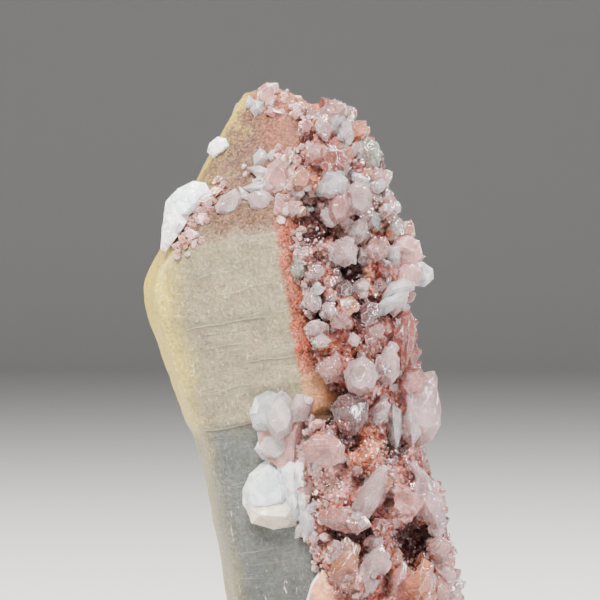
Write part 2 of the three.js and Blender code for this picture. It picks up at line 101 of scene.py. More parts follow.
# Floor and studio light
# A plain pale sweep of paper, a soft lamp above the front, a weaker one on the right, one on
# the left that shines through the crystal's thin edge, and one above.
FLOOR_COLOUR = (0.52, 0.515, 0.505)
SWEEP_WIDTH = 5.0
SWEEP_FRONT = -3.0
SWEEP_BEND = 1.1  # where the paper begins to curve up behind the specimen
SWEEP_RADIUS = 0.7
SWEEP_TOP = 2.6
SWEEP_PARTS = 12  # straight parts of the bend
PAPER_ROUGHNESS = 0.9
ROOM_COLOUR = (0.80, 0.82, 0.85)
ROOM_STRENGTH = 0.10
LAMPS = {  # name: (place, aims at, size, watts, colour)
    "key_lamp": ((-0.10, -0.36, 0.42), (-0.008, 0, 0.055), 0.20, 12.0, (1.0, 0.98, 0.96)),
    "side_lamp": ((0.46, -0.20, 0.26), (0.0, 0, 0.05), 0.18, 8.0, (0.94, 0.97, 1.0)),
    "edge_lamp": ((-0.42, 0.16, 0.12), (-0.015, 0, 0.055), 0.12, 2.7, (1.0, 0.90, 0.62)),
    "top_lamp": ((0.10, 0.10, 0.50), (0.0, 0, 0.07), 0.14, 4.0, (1.0, 0.98, 0.96)),
}


def new_material(name):
    """A new node material and its Principled shader."""
    material = bpy.data.materials.new(name)
    material.use_nodes = True
    return material, material.node_tree.nodes["Principled BSDF"]


sweep_line = [(SWEEP_FRONT, 0.0), (SWEEP_BEND, 0.0)]
for step in range(1, SWEEP_PARTS + 1):
    angle = math.radians(90 * step / SWEEP_PARTS)
    sweep_line.append((SWEEP_BEND + SWEEP_RADIUS * math.sin(angle), SWEEP_RADIUS * (1 - math.cos(angle))))
sweep_line.append((SWEEP_BEND + SWEEP_RADIUS, SWEEP_TOP))
floor_mesh = bpy.data.meshes.new("floor")
floor_mesh.from_pydata(
    [(side * SWEEP_WIDTH / 2, y, z) for y, z in sweep_line for side in (-1, 1)],
    [],
    [(2 * row, 2 * row + 1, 2 * row + 3, 2 * row + 2) for row in range(len(sweep_line) - 1)],
)
floor_mesh.shade_smooth()
floor = new_object("floor", floor_mesh)
floor_material, floor_shader = new_material("pale_floor")
floor_shader.inputs["Base Color"].default_value = (*FLOOR_COLOUR, 1)
floor_shader.inputs["Roughness"].default_value = PAPER_ROUGHNESS
floor_mesh.materials.append(floor_material)

for lamp_name, (place, target, size, watts, colour) in LAMPS.items():
    lamp_data = bpy.data.lights.new(lamp_name, "AREA")
    lamp_data.shape = "DISK"
    lamp_data.size = size
    lamp_data.energy = watts
    lamp_data.color = colour
    lamp = new_object(lamp_name, lamp_data)
    lamp.location = place
    lamp.rotation_euler = (Vector(target) - Vector(place)).to_track_quat("-Z", "Y").to_euler()

room = bpy.data.worlds.new("room")
room.use_nodes = True
room.node_tree.nodes["Background"].inputs["Color"].default_value = (*ROOM_COLOUR, 1)
room.node_tree.nodes["Background"].inputs["Strength"].default_value = ROOM_STRENGTH
bpy.context.scene.world = room

# Main crystal
# One piece of cloudy quartz: a wide beige head with a brown dusted tip on a greyer stem.
# It grew in thin layers, so its faces carry fine level steps, and its edges are chipped.
MM = 0.001
LEAN = math.radians(11)  # its long axis leans to the left
QUARTZ_GRAIN = 0.42 * MM  # size of the surface mesh's squares
LEDGE_HEIGHT = 43.0  # mm along the axis, the head's underside
SHOULDER_HEIGHT = 69.0  # mm along the axis, where the tip faces begin
FRONT_CORNER = 7.0  # degrees from the front, the edge that carries the red strip
UPRIGHT = Matrix.Rotation(LEAN, 3, "Y")  # turns the shared frame into the crystal's own


def noise(points, scale, seed):
    """Smooth noise between -1 and 1 at points, with features of about 1 / scale."""
    place = points * scale + seed * 7.31
    cell = np.floor(place)
    blend = place - cell
    blend = blend * blend * (3 - 2 * blend)
    cell = cell.astype(np.int64).astype(np.uint64)
    total = np.zeros(len(points))
    for corner in itertools.product((0, 1), repeat=3):
        x, y, z = (cell + np.array(corner, np.uint64)).T
        code = x * np.uint64(374761393) + y * np.uint64(668265263) + z * np.uint64(2147483647)
        code = (code + np.uint64(seed * 97)) & np.uint64(0xFFFFFFFF)
        code = ((code ^ (code >> np.uint64(13))) * np.uint64(1274126177)) & np.uint64(0xFFFFFFFF)
        code = ((code ^ (code >> np.uint64(15))) * np.uint64(2246822519)) & np.uint64(0xFFFFFFFF)
        share = np.prod(np.where(np.array(corner), blend, 1 - blend), axis=1)
        total += share * (code ^ (code >> np.uint64(16))).astype(float) / 0xFFFFFFFF
    return total * 2 - 1


def waves(points, table):
    """Sum of noises at points. Each row of the table is (height, waves per unit, seed)."""
    return sum(height * noise(points, scale, seed) for height, scale, seed in table)


def smooth_step(value, low, high):
    t = np.clip((value - low) / (high - low), 0, 1)
    return t * t * (3 - 2 * t)


def read_values(items, name, width=1, kind=float):
    """A value of each item of a mesh as an array, or a row of values if width is more than 1."""
    values = np.empty(len(items) * width, kind)
    items.foreach_get(name, values)
    return values.reshape(-1, width) if width > 1 else values


def mesh_points(mesh):
    return read_values(mesh.vertices, "co", 3)


def mesh_normals(mesh):
    return read_values(mesh.vertex_normals, "vector", 3)


def set_points(mesh, points):
    mesh.vertices.foreach_set("co", np.ascontiguousarray(points, np.float32).ravel())
    mesh.update()


def remeshed(source, size, name):
    """A copy of an object's mesh as a fine even net of squares, as a new object."""
    copy = new_object(name, source.data.copy())
    copy.data.materials.clear()
    modifier = copy.modifiers.new("net", "REMESH")
    modifier.mode = "VOXEL"
    modifier.voxel_size = size
    graph = bpy.context.evaluated_depsgraph_get()
    fine = bpy.data.meshes.new_from_object(copy.evaluated_get(graph))
    copy.modifiers.clear()
    copy.data = fine
    fine.name = name
    fine.shade_smooth()
    return copy


def relaxed(mesh, rounds, strength=0.5):
    """Points of a mesh after each has moved towards its neighbours, over and over."""
    points = mesh_points(mesh)
    first, second = read_values(mesh.edges, "vertices", 2, np.int32).T
    count = np.bincount(first, minlength=len(points)) + np.bincount(second, minlength=len(points))
    for _ in range(rounds):
        total = np.zeros_like(points)
        for axis in range(3):
            total[:, axis] = np.bincount(first, points[second, axis], len(points))
            total[:, axis] += np.bincount(second, points[first, axis], len(points))
        points = points + strength * (total / count[:, None] - points)
    return points


def paint(mesh, name, colours, domain="POINT"):
    """Stores a colour for each point or face corner of a mesh."""
    layer = mesh.color_attributes.new(name, "FLOAT_COLOR", domain)
    full = np.ones((len(layer.data), 4), np.float32)
    full[:, :3] = colours
    layer.data.foreach_set("color", full.ravel())


def own_places(points):
    """Places in the crystal's own frame, in mm: across, deep and along the axis."""
    return points @ np.array(UPRIGHT).T / MM


FACE_SMOOTHING = 7  # rounds that take the net's small steps out of the faces
WORN_SMOOTHING = 90  # rounds that wear the left edge round
WORN_EDGE = (-14.5, -6.0)  # mm across, where the wear of the left edge fades
WORN_FOOT = (2.0, 6.0)  # mm high, below it the cut edge stays sharp
scepter = remeshed(frame["nodes"]["quartz_scepter"], QUARTZ_GRAIN, "quartz_scepter_surface")
scepter_mesh = scepter.data
scepter_points = relaxed(scepter_mesh, FACE_SMOOTHING)
worn = 1 - smooth_step(own_places(scepter_points)[:, 0], *WORN_EDGE)
worn *= smooth_step(scepter_points[:, 2] / MM, *WORN_FOOT)
scepter_points += (relaxed(scepter_mesh, WORN_SMOOTHING) - scepter_points) * worn[:, None]
set_points(scepter_mesh, scepter_points)
scepter_normals = mesh_normals(scepter_mesh)
own = own_places(scepter_points)
own_x, own_y, own_z = own.T
own_normals = scepter_normals @ np.array(UPRIGHT).T
on_tip = smooth_step(own_normals[:, 2], 0.3, 0.55)
on_wall = 1 - smooth_step(np.abs(own_normals[:, 2]), 0.15, 0.4)

# The growth layers: level lines that wander a little, and steps that fade out
LAYER_WAVES = ((0.05, 1.1, 5), (0.025, 3.0, 6))  # (height in mm, waves per mm, seed)
LAYER_WANDER = (0.35, 0.16, 3)
FACE_WAVES = ((0.22, 0.09, 11), (0.05, 0.5, 12), (0.02, 1.6, 13))
LEVEL_STEPS = (  # (height, from, to, strength, seed), in mm
    (58.4, -14.5, -1.0, 1.0, 31), (52.1, -6.5, 2.5, 0.9, 32), (55.0, -12.0, -4.0, 0.4, 33),
    (62.8, -9.0, 1.5, 0.35, 34), (48.5, -13.0, -5.0, 0.45, 35), (43.1, -16.0, -1.0, 0.9, 38),
    (34.0, -12.0, -3.0, 0.2, 36), (24.0, -13.0, -6.0, 0.25, 37), (65.6, -13.0, -5.0, 0.3, 39),
)
STEP_RISE = 0.16  # mm, how far a strong step stands out
STEP_REACH = 1.5  # mm to either side of a step where its line is kept
layer_places = own * np.array([0.05, 0.05, 1.0]) + waves(own, [LAYER_WANDER])[:, None]
relief = on_wall * waves(layer_places, LAYER_WAVES) + waves(own, FACE_WAVES)
front = smooth_step(-own_normals[:, 1], 0.5, 0.8)
step_lines = np.full(len(own), STEP_REACH)
step_strengths = np.zeros(len(own))
for height, left, right, strength, seed in LEVEL_STEPS:
    line = own_z - height - waves(own * np.array([1, 1, 0]), [(0.5, 0.25, seed), (0.06, 1.2, seed)])
    inside = smooth_step(own_x, left, left + 2.5) * (1 - smooth_step(own_x, right - 2, right)) * front
    nearer = np.abs(line) < np.abs(step_lines)
    step_lines[nearer] = line[nearer]
    step_strengths[nearer] = (strength * inside)[nearer]
    rise = smooth_step(line, -0.2, 0.2) * (1 - smooth_step(line, 0.5, 4))
    relief += STEP_RISE * strength * inside * rise

# Chips along the edges
CHIP_DEPTH = 0.7  # mm
CHIP_SPACING = 0.9  # per mm
EDGE_SMOOTHING = 10  # rounds, what they move most is an edge
edge_chips = np.maximum(noise(own, CHIP_SPACING, 21) - 0.25, 0)
smoothed_places = own_places(relaxed(scepter_mesh, EDGE_SMOOTHING))
edge_nearness = smooth_step(np.linalg.norm(own - smoothed_places, axis=1), 0.05, 0.22)
relief -= CHIP_DEPTH * edge_chips * edge_nearness
scepter_points = scepter_points + scepter_normals * (relief * MM)[:, None]
scepter_points[:, 2] = np.maximum(scepter_points[:, 2], 0)
set_points(scepter_mesh, scepter_points)

HEAD_COLOUR = (0.192, 0.162, 0.094)
STEM_COLOUR = (0.072, 0.076, 0.068)
# the yellow of the left edge is a painted glow of the light that shines through it
PAINTED_GLOW_COLOUR = (0.44, 0.335, 0.035)
TIP_COLOUR = (0.10, 0.045, 0.022)
TIP_RED = (0.16, 0.045, 0.022)
STRIP_COLOUR = (0.215, 0.030, 0.009)
NOSE_COLOUR = (0.34, 0.155, 0.07)
PAINTED_GLOW_FADE = (-18.5, -12.0)  # mm across, where the painted yellow glow of the thin left edge fades
BARE_EDGE = (-20.0, -17.6)  # mm across, where the dust of the tip begins
TIP_SLOPE = 0.95  # mm that the left edge of the tip moves in for each mm up
STRIP_TOP = 72  # mm along the axis
STRIP_EDGE = (-3.4, -0.6)  # degrees from the front corner, where the strip begins
STRIP_REACH = 24  # degrees from the front corner, the strip's far side


def mixed(base, over, share):
    """Colours with another laid over them, by a share for each."""
    return base + (np.asarray(over) - base) * share[:, None]


head_place = own_z + waves(own, [(0.8, 0.3, 41)])
head_share = smooth_step(head_place, LEDGE_HEIGHT - 1.5, LEDGE_HEIGHT + 1.5)
stem_fade = 0.78 + 0.22 * smooth_step(own_z, 8, 34)
quartz_colours = mixed(np.array(STEM_COLOUR) * stem_fade[:, None], HEAD_COLOUR, head_share)
left_edge = own_x - TIP_SLOPE * np.maximum(own_z - SHOULDER_HEIGHT, 0)
# painted glow: the thin left edge and the left of the tip are painted yellow, as if lit from behind
painted_glow_share = 1 - smooth_step(left_edge + waves(own, [(1.2, 0.15, 42)]), *PAINTED_GLOW_FADE)
quartz_colours = mixed(quartz_colours, PAINTED_GLOW_COLOUR, painted_glow_share * (0.45 + 0.55 * head_share))
tip_place = own_z + waves(own, [(0.8, 0.35, 43)])
tip_share = on_tip * smooth_step(tip_place, SHOULDER_HEIGHT - 1, SHOULDER_HEIGHT + 4)
tip_share *= 1 - 0.65 * (1 - smooth_step(left_edge + waves(own, [(0.5, 0.6, 52)]), *BARE_EDGE))
streak_places = np.column_stack([own_x + own_z, own_y, (own_z - own_x) * 0.25])
tip_streaks = 0.92 + waves(streak_places, [(0.22, 0.5, 44), (0.2, 1.6, 49)])
quartz_colours = mixed(quartz_colours, TIP_COLOUR, np.clip(tip_share * tip_streaks, 0, 1))
tip_red = tip_share * smooth_step(own_x + waves(own, [(1.5, 0.4, 50)]), 0.5, 5)
quartz_colours = mixed(quartz_colours, TIP_RED, 0.8 * tip_red)


def strip_cover(places, low, high):
    """Share of the red strip at places in the crystal's own frame, between two heights."""
    turn = np.degrees(np.arctan2(places[:, 0], -places[:, 1])) - FRONT_CORNER
    turn += waves(places, [(1.4, 0.5, 45), (0.8, 1.5, 47)])
    height = places[:, 2]
    level = smooth_step(height, low - 3, low + 3) * (1 - smooth_step(height, high - 2, high + 2))
    return smooth_step(turn, *STRIP_EDGE) * level * (np.abs(turn) < STRIP_REACH)


strip_share = strip_cover(own, LEDGE_HEIGHT + 5, STRIP_TOP)
quartz_colours = mixed(quartz_colours, STRIP_COLOUR, strip_share * (0.85 + waves(own, [(0.15, 1.1, 46)])))
nose_share = strip_cover(own, LEDGE_HEIGHT - 1, LEDGE_HEIGHT + 6) * (1 - 0.6 * strip_share)
quartz_colours = mixed(quartz_colours, NOSE_COLOUR, nose_share)
paint(scepter_mesh, "tint", np.clip(quartz_colours, 0, 1))
dusted = np.maximum.reduce([tip_share, strip_share, nose_share * 0.2])
paint(scepter_mesh, "dusted", np.repeat(dusted[:, None], 3, axis=1))
step_field = 0.5 + 0.5 * np.clip(step_lines / STEP_REACH, -1, 1)
paint(scepter_mesh, "steps", np.column_stack([step_field, step_strengths, step_field]))


class Nodes:
    """A node tree with a short way to add each kind of node. Each way takes plain values or
    the outputs of other nodes, and gives the new node's output."""

    def __init__(self, tree):
        self.tree = tree

    def fill(self, node, **inputs):
        """Sets or links a node's inputs, named by their words or by _ and their number."""
        for key, value in inputs.items():
            name = int(key[1:]) if key[1:].isdigit() else key.replace("_", " ")
            if isinstance(value, bpy.types.NodeSocket):
                self.tree.links.new(value, node.inputs[name])
            else:
                node.inputs[name].default_value = value

    def add(self, kind, settings=None, **inputs):
        """The outputs of a new node of that kind."""
        node = self.tree.nodes.new(kind)
        for key, value in (settings or {}).items():
            setattr(node, key, value)
        self.fill(node, **inputs)
        return node.outputs

    def group(self, group, **inputs):
        """The outputs of a group placed in this tree."""
        return self.add("ShaderNodeGroup", {"node_tree": group.tree}, **inputs)

    def place(self):
        """The place on the object."""
        return self.add("ShaderNodeTexCoord")["Object"]

    def painted(self, layer):
        """A colour that was painted on the mesh."""
        return self.add("ShaderNodeVertexColor", {"layer_name": layer})["Color"]

    def parts(self, colour):
        """A colour's three parts, as outputs named Red, Green and Blue."""
        return self.add("ShaderNodeSeparateColor", Color=colour)

    def math(self, operation, *values, clamp=False):
        """The result of an operation on single values."""
        numbered = {f"_{number}": value for number, value in enumerate(values)}
        return self.add("ShaderNodeMath", {"operation": operation, "use_clamp": clamp}, **numbered)[0]

    def vector(self, operation, *values):
        """The result of an operation on vectors, as outputs named Vector and Value."""
        numbered = {f"_{number}": value for number, value in enumerate(values)}
        return self.add("ShaderNodeVectorMath", {"operation": operation}, **numbered)

    def scaled(self, vector, factor):
        """A vector or colour times a single value."""
        return self.add("ShaderNodeVectorMath", {"operation": "SCALE"}, _0=vector, Scale=factor)["Vector"]

    def spanned(self, value, low=0.0, high=1.0, to_low=0.0, to_high=1.0, curve="LINEAR"):
        """A value taken from one span to another and held at its ends."""
        spans = {"From_Min": low, "From_Max": high, "To_Min": to_low, "To_Max": to_high}
        settings = {"interpolation_type": curve}
        return self.add("ShaderNodeMapRange", settings, Value=value, **spans)["Result"]

    def mixed(self, share, under, over):
        """A colour with another laid over it."""
        return self.add("ShaderNodeMix", {"data_type": "RGBA"}, _0=share, _6=under, _7=over)[2]

    def noise(self, place, scale, detail, **more):
        """Soft noise with the given waves per unit."""
        return self.add("ShaderNodeTexNoise", Vector=place, Scale=scale, Detail=detail, **more)["Fac"]

    def bump(self, height, depth, strength=1.0, **under):
        """A normal tilted by a height, over the Normal that it may be given."""
        sizes = {"Distance": depth, "Strength": strength}
        return self.add("ShaderNodeBump", Height=height, **sizes, **under)["Normal"]


def shader_group(name, inputs, outputs):
    """An empty node group with named sockets: its nodes, what comes in and its output node."""
    tree = bpy.data.node_groups.new(name, "ShaderNodeTree")
    for socket_name, kind, value in inputs:
        socket = tree.interface.new_socket(socket_name, in_out="INPUT", socket_type=kind)
        if value is not None:
            socket.default_value = value
    for socket_name, kind in outputs:
        tree.interface.new_socket(socket_name, in_out="OUTPUT", socket_type=kind)
    return Nodes(tree), tree.nodes.new("NodeGroupInput").outputs, tree.nodes.new("NodeGroupOutput")


# Speckle: small light and dark flecks over a colour, for every mineral surface here
speckle, given, result = shader_group(
    "mineral_speckle",
    [("Place", "NodeSocketVector", None), ("Colour", "NodeSocketColor", (0.5, 0.5, 0.5, 1)),
     ("Scale", "NodeSocketFloat", 900.0), ("Amount", "NodeSocketFloat", 0.2)],
    [("Colour", "NodeSocketColor"), ("Mask", "NodeSocketFloat")],
)
fleck_noise = speckle.noise(given["Place"], given["Scale"], 4.0, Roughness=0.65)
fleck_spread = speckle.spanned(fleck_noise, low=0.3, high=0.7, to_low=-1.0)
fleck_factor = speckle.math("ADD", speckle.math("MULTIPLY", fleck_spread, given["Amount"]), 1.0)
speckle.fill(result, Colour=speckle.scaled(given["Colour"], fleck_factor), Mask=fleck_noise)

# Facets: random small flat faces, each with a tilt and a shade of its own
facets, given, result = shader_group(
    "crystal_facets",
    [("Place", "NodeSocketVector", None), ("Scale", "NodeSocketFloat", 800.0)],
    [("Height", "NodeSocketFloat"), ("Shade", "NodeSocketFloat")],
)
facet_place = facets.scaled(given["Place"], given["Scale"])
facet_cells = facets.add("ShaderNodeTexVoronoi", Vector=facet_place, Scale=1.0)
facet_offset = facets.vector("SUBTRACT", facet_place, facet_cells["Position"])["Vector"]
facet_tilt = facets.vector("MULTIPLY_ADD", facet_cells["Color"], (2.0, 2.0, 2.0), (-1.0, -1.0, -1.0))
facet_height = facets.vector("DOT_PRODUCT", facet_offset, facet_tilt["Vector"])["Value"]
facets.fill(result, Height=facet_height, Shade=facets.parts(facet_cells["Color"])["Green"])

# Contours: thin wandering lines, such as the edges of growth layers
contours, given, result = shader_group(
    "growth_contours",
    [("Place", "NodeSocketVector", None), ("Count", "NodeSocketFloat", 9.0),
     ("Width", "NodeSocketFloat", 0.1)],
    [("Mask", "NodeSocketFloat"), ("Height", "NodeSocketFloat")],
)
contour_noise = contours.noise(given["Place"], 1.0, 3.0, Distortion=0.5)
contour_fold = contours.math("PINGPONG", contours.math("MULTIPLY", contour_noise, given["Count"]), 0.5)
contour_line = contours.spanned(
    contour_fold, high=given["Width"], to_low=1.0, to_high=0.0, curve="SMOOTHSTEP",
)
contours.fill(result, Mask=contour_line, Height=contour_fold)

QUARTZ_IOR = 1.54
LINE_GLOW = 2.6  # how much brighter the fine lines are than the face
# painted shadow and painted highlight of the growth steps
SHADOW_COLOUR = (0.09, 0.08, 0.055, 1)
STEP_HIGHLIGHT_COLOUR = (0.62, 0.57, 0.45, 1)
NICK_COLOUR = (0.74, 0.73, 0.68, 1)
quartz_material, quartz_shader = new_material("cloudy_quartz")
quartz = Nodes(quartz_material.node_tree)
quartz_place = quartz.add("ShaderNodeMapping", Vector=quartz.place(), Rotation=(0, LEAN, 0))["Vector"]
cloud = quartz.group(speckle, Place=quartz_place, Colour=quartz.painted("tint"), Scale=230.0, Amount=0.24)
specks = quartz.group(speckle, Place=quartz_place, Colour=cloud["Colour"], Scale=1900.0, Amount=0.42)
flecks = specks["Colour"]

# Fine contour lines of growth, here and there, and finer crackle between them
layer_place = quartz.vector("MULTIPLY", quartz_place, (70.0, 70.0, 420.0))["Vector"]
layer_lines = quartz.group(contours, Place=layer_place, Count=9.0, Width=0.10)["Mask"]
crackle = quartz.group(contours, Place=quartz.scaled(quartz_place, 520.0), Count=5.0, Width=0.09)["Mask"]
line_patches = quartz.noise(quartz_place, 170.0, 2.0)
layer_share = quartz.spanned(line_patches, low=0.40, high=0.65, to_high=0.36)
crackle_share = quartz.spanned(line_patches, low=0.62, high=0.40, to_high=0.6)
layer_mask = quartz.math("MULTIPLY", layer_lines, layer_share)
line_mask = quartz.math("MULTIPLY_ADD", crackle, crackle_share, layer_mask, clamp=True)
lined = quartz.mixed(line_mask, flecks, quartz.scaled(flecks, LINE_GLOW))

# The larger growth steps: a painted highlight on each step's edge over a thin painted shadow, each a ramp
# beside the step
steps = quartz.parts(quartz.painted("steps"))
step_edge, step_fade, step_under = (
    quartz.spanned(steps["Red"], low, high, to_low, 1 - to_low, curve="SMOOTHSTEP")
    for low, high, to_low in ((0.47, 0.52, 0.0), (0.52, 0.60, 1.0), (0.30, 0.48, 0.0))
)
step_glow = quartz.math("MULTIPLY", quartz.math("MULTIPLY", step_edge, step_fade), steps["Green"])
step_dark = quartz.math("SUBTRACT", step_under, step_edge)
step_shadow = quartz.math("MULTIPLY", step_dark, steps["Green"], clamp=True)
shadowed = quartz.mixed(quartz.math("MULTIPLY", step_shadow, 0.45), lined, SHADOW_COLOUR)
stepped = quartz.mixed(quartz.math("MULTIPLY", step_glow, 0.5), shadowed, STEP_HIGHLIGHT_COLOUR)

# Short bright nicks that run along the crystal, and red dust that lies in grains
nick_place = quartz.vector("MULTIPLY", quartz_place, (1900.0, 1900.0, 700.0))["Vector"]
nick_mask = quartz.spanned(quartz.noise(nick_place, 1.0, 2.0), low=0.68, high=0.78, to_high=0.5)
nicked = quartz.mixed(nick_mask, stepped, NICK_COLOUR)
dust = quartz.painted("dusted")
dust_grains = quartz.group(facets, Place=quartz_place, Scale=3600.0)
dust_shade = quartz.spanned(dust_grains["Shade"], to_low=0.45, to_high=1.75)
dust_colour = quartz.scaled(flecks, dust_shade)

# Relief: the steps, fine growth lines with frost between them, and the grit of the dust
growth_place = quartz.vector("MULTIPLY", quartz_place, (60.0, 60.0, 1400.0))["Vector"]
growth_lines = quartz.noise(growth_place, 1.0, 5.0)
frost = quartz.noise(quartz_place, 2200.0, 3.0)
fine_height = quartz.math("ADD", quartz.math("MULTIPLY_ADD", frost, 0.8, growth_lines), line_mask)
step_bump = quartz.bump(quartz.math("MULTIPLY", step_edge, steps["Green"]), 0.16 * MM)
fine_bump = quartz.bump(fine_height, 0.16 * MM, strength=0.8, Normal=step_bump)
grit_height = quartz.math("MULTIPLY", dust_grains["Height"], dust)
gloss = quartz.spanned(frost, low=0.3, high=0.7, to_low=0.30, to_high=0.60)
quartz.fill(
    quartz_shader,
    Base_Color=quartz.mixed(dust, nicked, dust_colour),
    Normal=quartz.bump(grit_height, 0.14 * MM, Normal=fine_bump),
    Roughness=quartz.math("MULTIPLY_ADD", dust, 0.35, gloss, clamp=True),
    IOR=QUARTZ_IOR,
    Subsurface_Weight=0.45,
    Subsurface_Radius=(1.0, 0.85, 0.55),
    Subsurface_Scale=3.5 * MM,
)
scepter_mesh.materials.append(quartz_material)
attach(scepter, "root")
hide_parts("quartz_scepter")

# Red crust
# A thin granular skin of hematite-stained quartz over the right-hand faces. It is the ground that the
# small crystals grow from, lumpy, with painted shade that darkens its hollows.
CRUST_GRAIN = 0.5 * MM  # size of the surface mesh's squares
CRUST_SMOOTHING = 5  # rounds
CRUST_WAVES = ((0.45, 0.40, 51), (0.32, 0.95, 52), (0.18, 2.0, 53))  # (height in mm, waves per mm, seed)
HOLLOW_DEPTH = 0.9  # mm, of the hollows under the patches of painted shade
crust = remeshed(frame["nodes"]["flank_crust"], CRUST_GRAIN, "crust_ground")
crust_mesh = crust.data
set_points(crust_mesh, relaxed(crust_mesh, CRUST_SMOOTHING))
crust_normals = mesh_normals(crust_mesh)
crust_points = mesh_points(crust_mesh)
crust_places = crust_points / MM
# the darkest crust colour is painted shade for the hollows
CRUST_HOLLOW_SHADE = (0.040, 0.011, 0.010)
CRUST_RED = (0.17, 0.043, 0.032)
CRUST_PALE = (0.29, 0.125, 0.105)
CRUST_ORANGE = (0.33, 0.095, 0.045)
# Patches seen from the front: (x, z, radius, colour) in mm. The darkest are painted shade in the crust's
# hollows.
CRUST_PATCHES = (
    (-4.8, 71.0, 3.4, CRUST_HOLLOW_SHADE), (-6.2, 69.2, 2.0, CRUST_HOLLOW_SHADE), (0.0, 63.6, 2.6, CRUST_HOLLOW_SHADE),
    (2.6, 57.6, 3.2, CRUST_HOLLOW_SHADE), (-5.8, 59.6, 2.0, CRUST_HOLLOW_SHADE), (-5.2, 56.8, 1.6, CRUST_HOLLOW_SHADE),
    (-5.6, 43.2, 3.6, CRUST_HOLLOW_SHADE), (-0.4, 39.2, 1.8, CRUST_HOLLOW_SHADE), (-6.4, 23.6, 2.6, CRUST_HOLLOW_SHADE),
    (0.6, 25.0, 4.0, CRUST_HOLLOW_SHADE), (9.6, 22.8, 4.2, CRUST_HOLLOW_SHADE), (6.4, 37.0, 2.4, CRUST_HOLLOW_SHADE),
    (0.2, 81.8, 2.2, CRUST_ORANGE), (-7.4, 77.6, 2.8, CRUST_ORANGE), (-5.8, 86.8, 2.4, CRUST_ORANGE),
    (-0.6, 58.6, 1.8, CRUST_ORANGE), (2.4, 36.6, 3.6, CRUST_ORANGE), (-7.6, 48.0, 3.6, CRUST_ORANGE),
    (-3.4, 51.6, 2.2, CRUST_ORANGE), (10.6, 17.0, 4.4, CRUST_ORANGE), (-2.2, 20.6, 2.4, CRUST_ORANGE),
    (4.2, 71.4, 2.6, CRUST_PALE), (3.4, 53.8, 3.2, CRUST_PALE), (8.6, 30.0, 4.6, CRUST_PALE),
    (-2.2, 32.6, 4.0, CRUST_PALE), (-5.0, 67.0, 2.6, CRUST_PALE), (4.6, 69.0, 2.0, CRUST_RED),
    (8.0, 54.0, 4.4, CRUST_RED),
)


def patch_share(places, x, z, radius):
    """Share of a round patch, seen from the front, at places in mm."""
    away = np.hypot(places[:, 0] - x, places[:, 2] - z) / radius + 0.25 * noise(places, 0.9, 63)
    return (1 - smooth_step(away, 0.5, 1.1)) * smooth_step(-places[:, 1], -2, 4)


crust_relief = waves(crust_places, CRUST_WAVES)
for x, z, radius, colour in CRUST_PATCHES:
    if colour == CRUST_HOLLOW_SHADE:
        crust_relief -= HOLLOW_DEPTH * patch_share(crust_places, x, z, radius)
crust_points += crust_normals * (crust_relief * MM)[:, None]
crust_points[:, 2] = np.maximum(crust_points[:, 2], 0)
set_points(crust_mesh, crust_points)


def crust_colours(places, painted_shade):
    """Colours of the crust at places in mm, darkened by painted shade where the last value is near 1."""
    base = np.tile(CRUST_RED, (len(places), 1))
    base = mixed(base, CRUST_PALE, smooth_step(noise(places, 0.33, 61), -0.05, 0.45))
    base = mixed(base, CRUST_ORANGE, 0.7 * smooth_step(noise(places, 0.28, 62), 0.25, 0.6))
    for x, z, radius, colour in CRUST_PATCHES:
        base = mixed(base, colour, 0.85 * patch_share(places, x, z, radius))
    return mixed(base, CRUST_HOLLOW_SHADE, np.clip(painted_shade, 0, 1) * 0.85)


# painted shade: the deeper the crust lies in its relief, the darker it is painted
crust_painted_shade = 1 - smooth_step(crust_relief, -0.42, 0.05)
paint(crust_mesh, "tint", crust_colours(crust_places, crust_painted_shade))

crust_material, crust_shader = new_material("red_crust")
crust_nodes = Nodes(crust_material.node_tree)
crust_place = crust_nodes.place()
crust_tint = crust_nodes.painted("tint")
crust_flecks = crust_nodes.group(speckle, Place=crust_place, Colour=crust_tint, Scale=1300.0, Amount=0.5)
large_faces = crust_nodes.group(facets, Place=crust_place, Scale=650.0)
small_faces = crust_nodes.group(facets, Place=crust_place, Scale=2100.0)
both_shades = crust_nodes.math("ADD", large_faces["Shade"], small_faces["Shade"])
crust_shade = crust_nodes.spanned(both_shades, high=2.0, to_low=0.35, to_high=1.8)
large_bump = crust_nodes.bump(large_faces["Height"], 0.9 * MM)
crust_nodes.fill(
    crust_shader,
    Base_Color=crust_nodes.scaled(crust_flecks["Colour"], crust_shade),
    Normal=crust_nodes.bump(small_faces["Height"], 0.3 * MM, Normal=large_bump),
    Roughness=crust_nodes.spanned(small_faces["Shade"], to_low=0.12, to_high=0.6),
    Subsurface_Weight=0.25,
    Subsurface_Radius=(1.0, 0.4, 0.3),
    Subsurface_Scale=1.2 * MM,
)
crust_mesh.materials.append(crust_material)
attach(crust, "root")
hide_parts("flank_crust")

# Crystals of the crust
# Stubby quartz crystals that grew out of the crust, each a six-sided prism with three large
# and three small faces at its point. They are clear, so the red ground shows through them,
# and those that touch have grown into one another.
CRYSTAL_FORMS = 14
CRYSTAL_SIDES = 6
POINT_SLOPE = math.radians(38.2)  # from the axis to a face of a quartz crystal's point
LOOSE_RIM = 0.42  # how pale the edges of the smallest crystals are: frost, and partly a painted highlight
BACK_SHARE = 0.72  # size of a block's back against its outline
PLATE_SHARE = 0.62  # size of a plate's front against its outline
GROWTH_SHIFT = 3.7  # mm, so that the growth lines of two crystals don't match
FOOT = 0.02  # mm above the floor, where the lowest points stop


def points_and_faces(shape):
    """The points and triangles of a closed bmesh, which is then freed."""
    bmesh.ops.recalc_face_normals(shape, faces=shape.faces[:])
    shape.verts.index_update()
    points = np.array([vert.co[:] for vert in shape.verts])
    faces = np.array([[vert.index for vert in face.verts] for face in shape.faces])
    shape.free()
    return points, faces


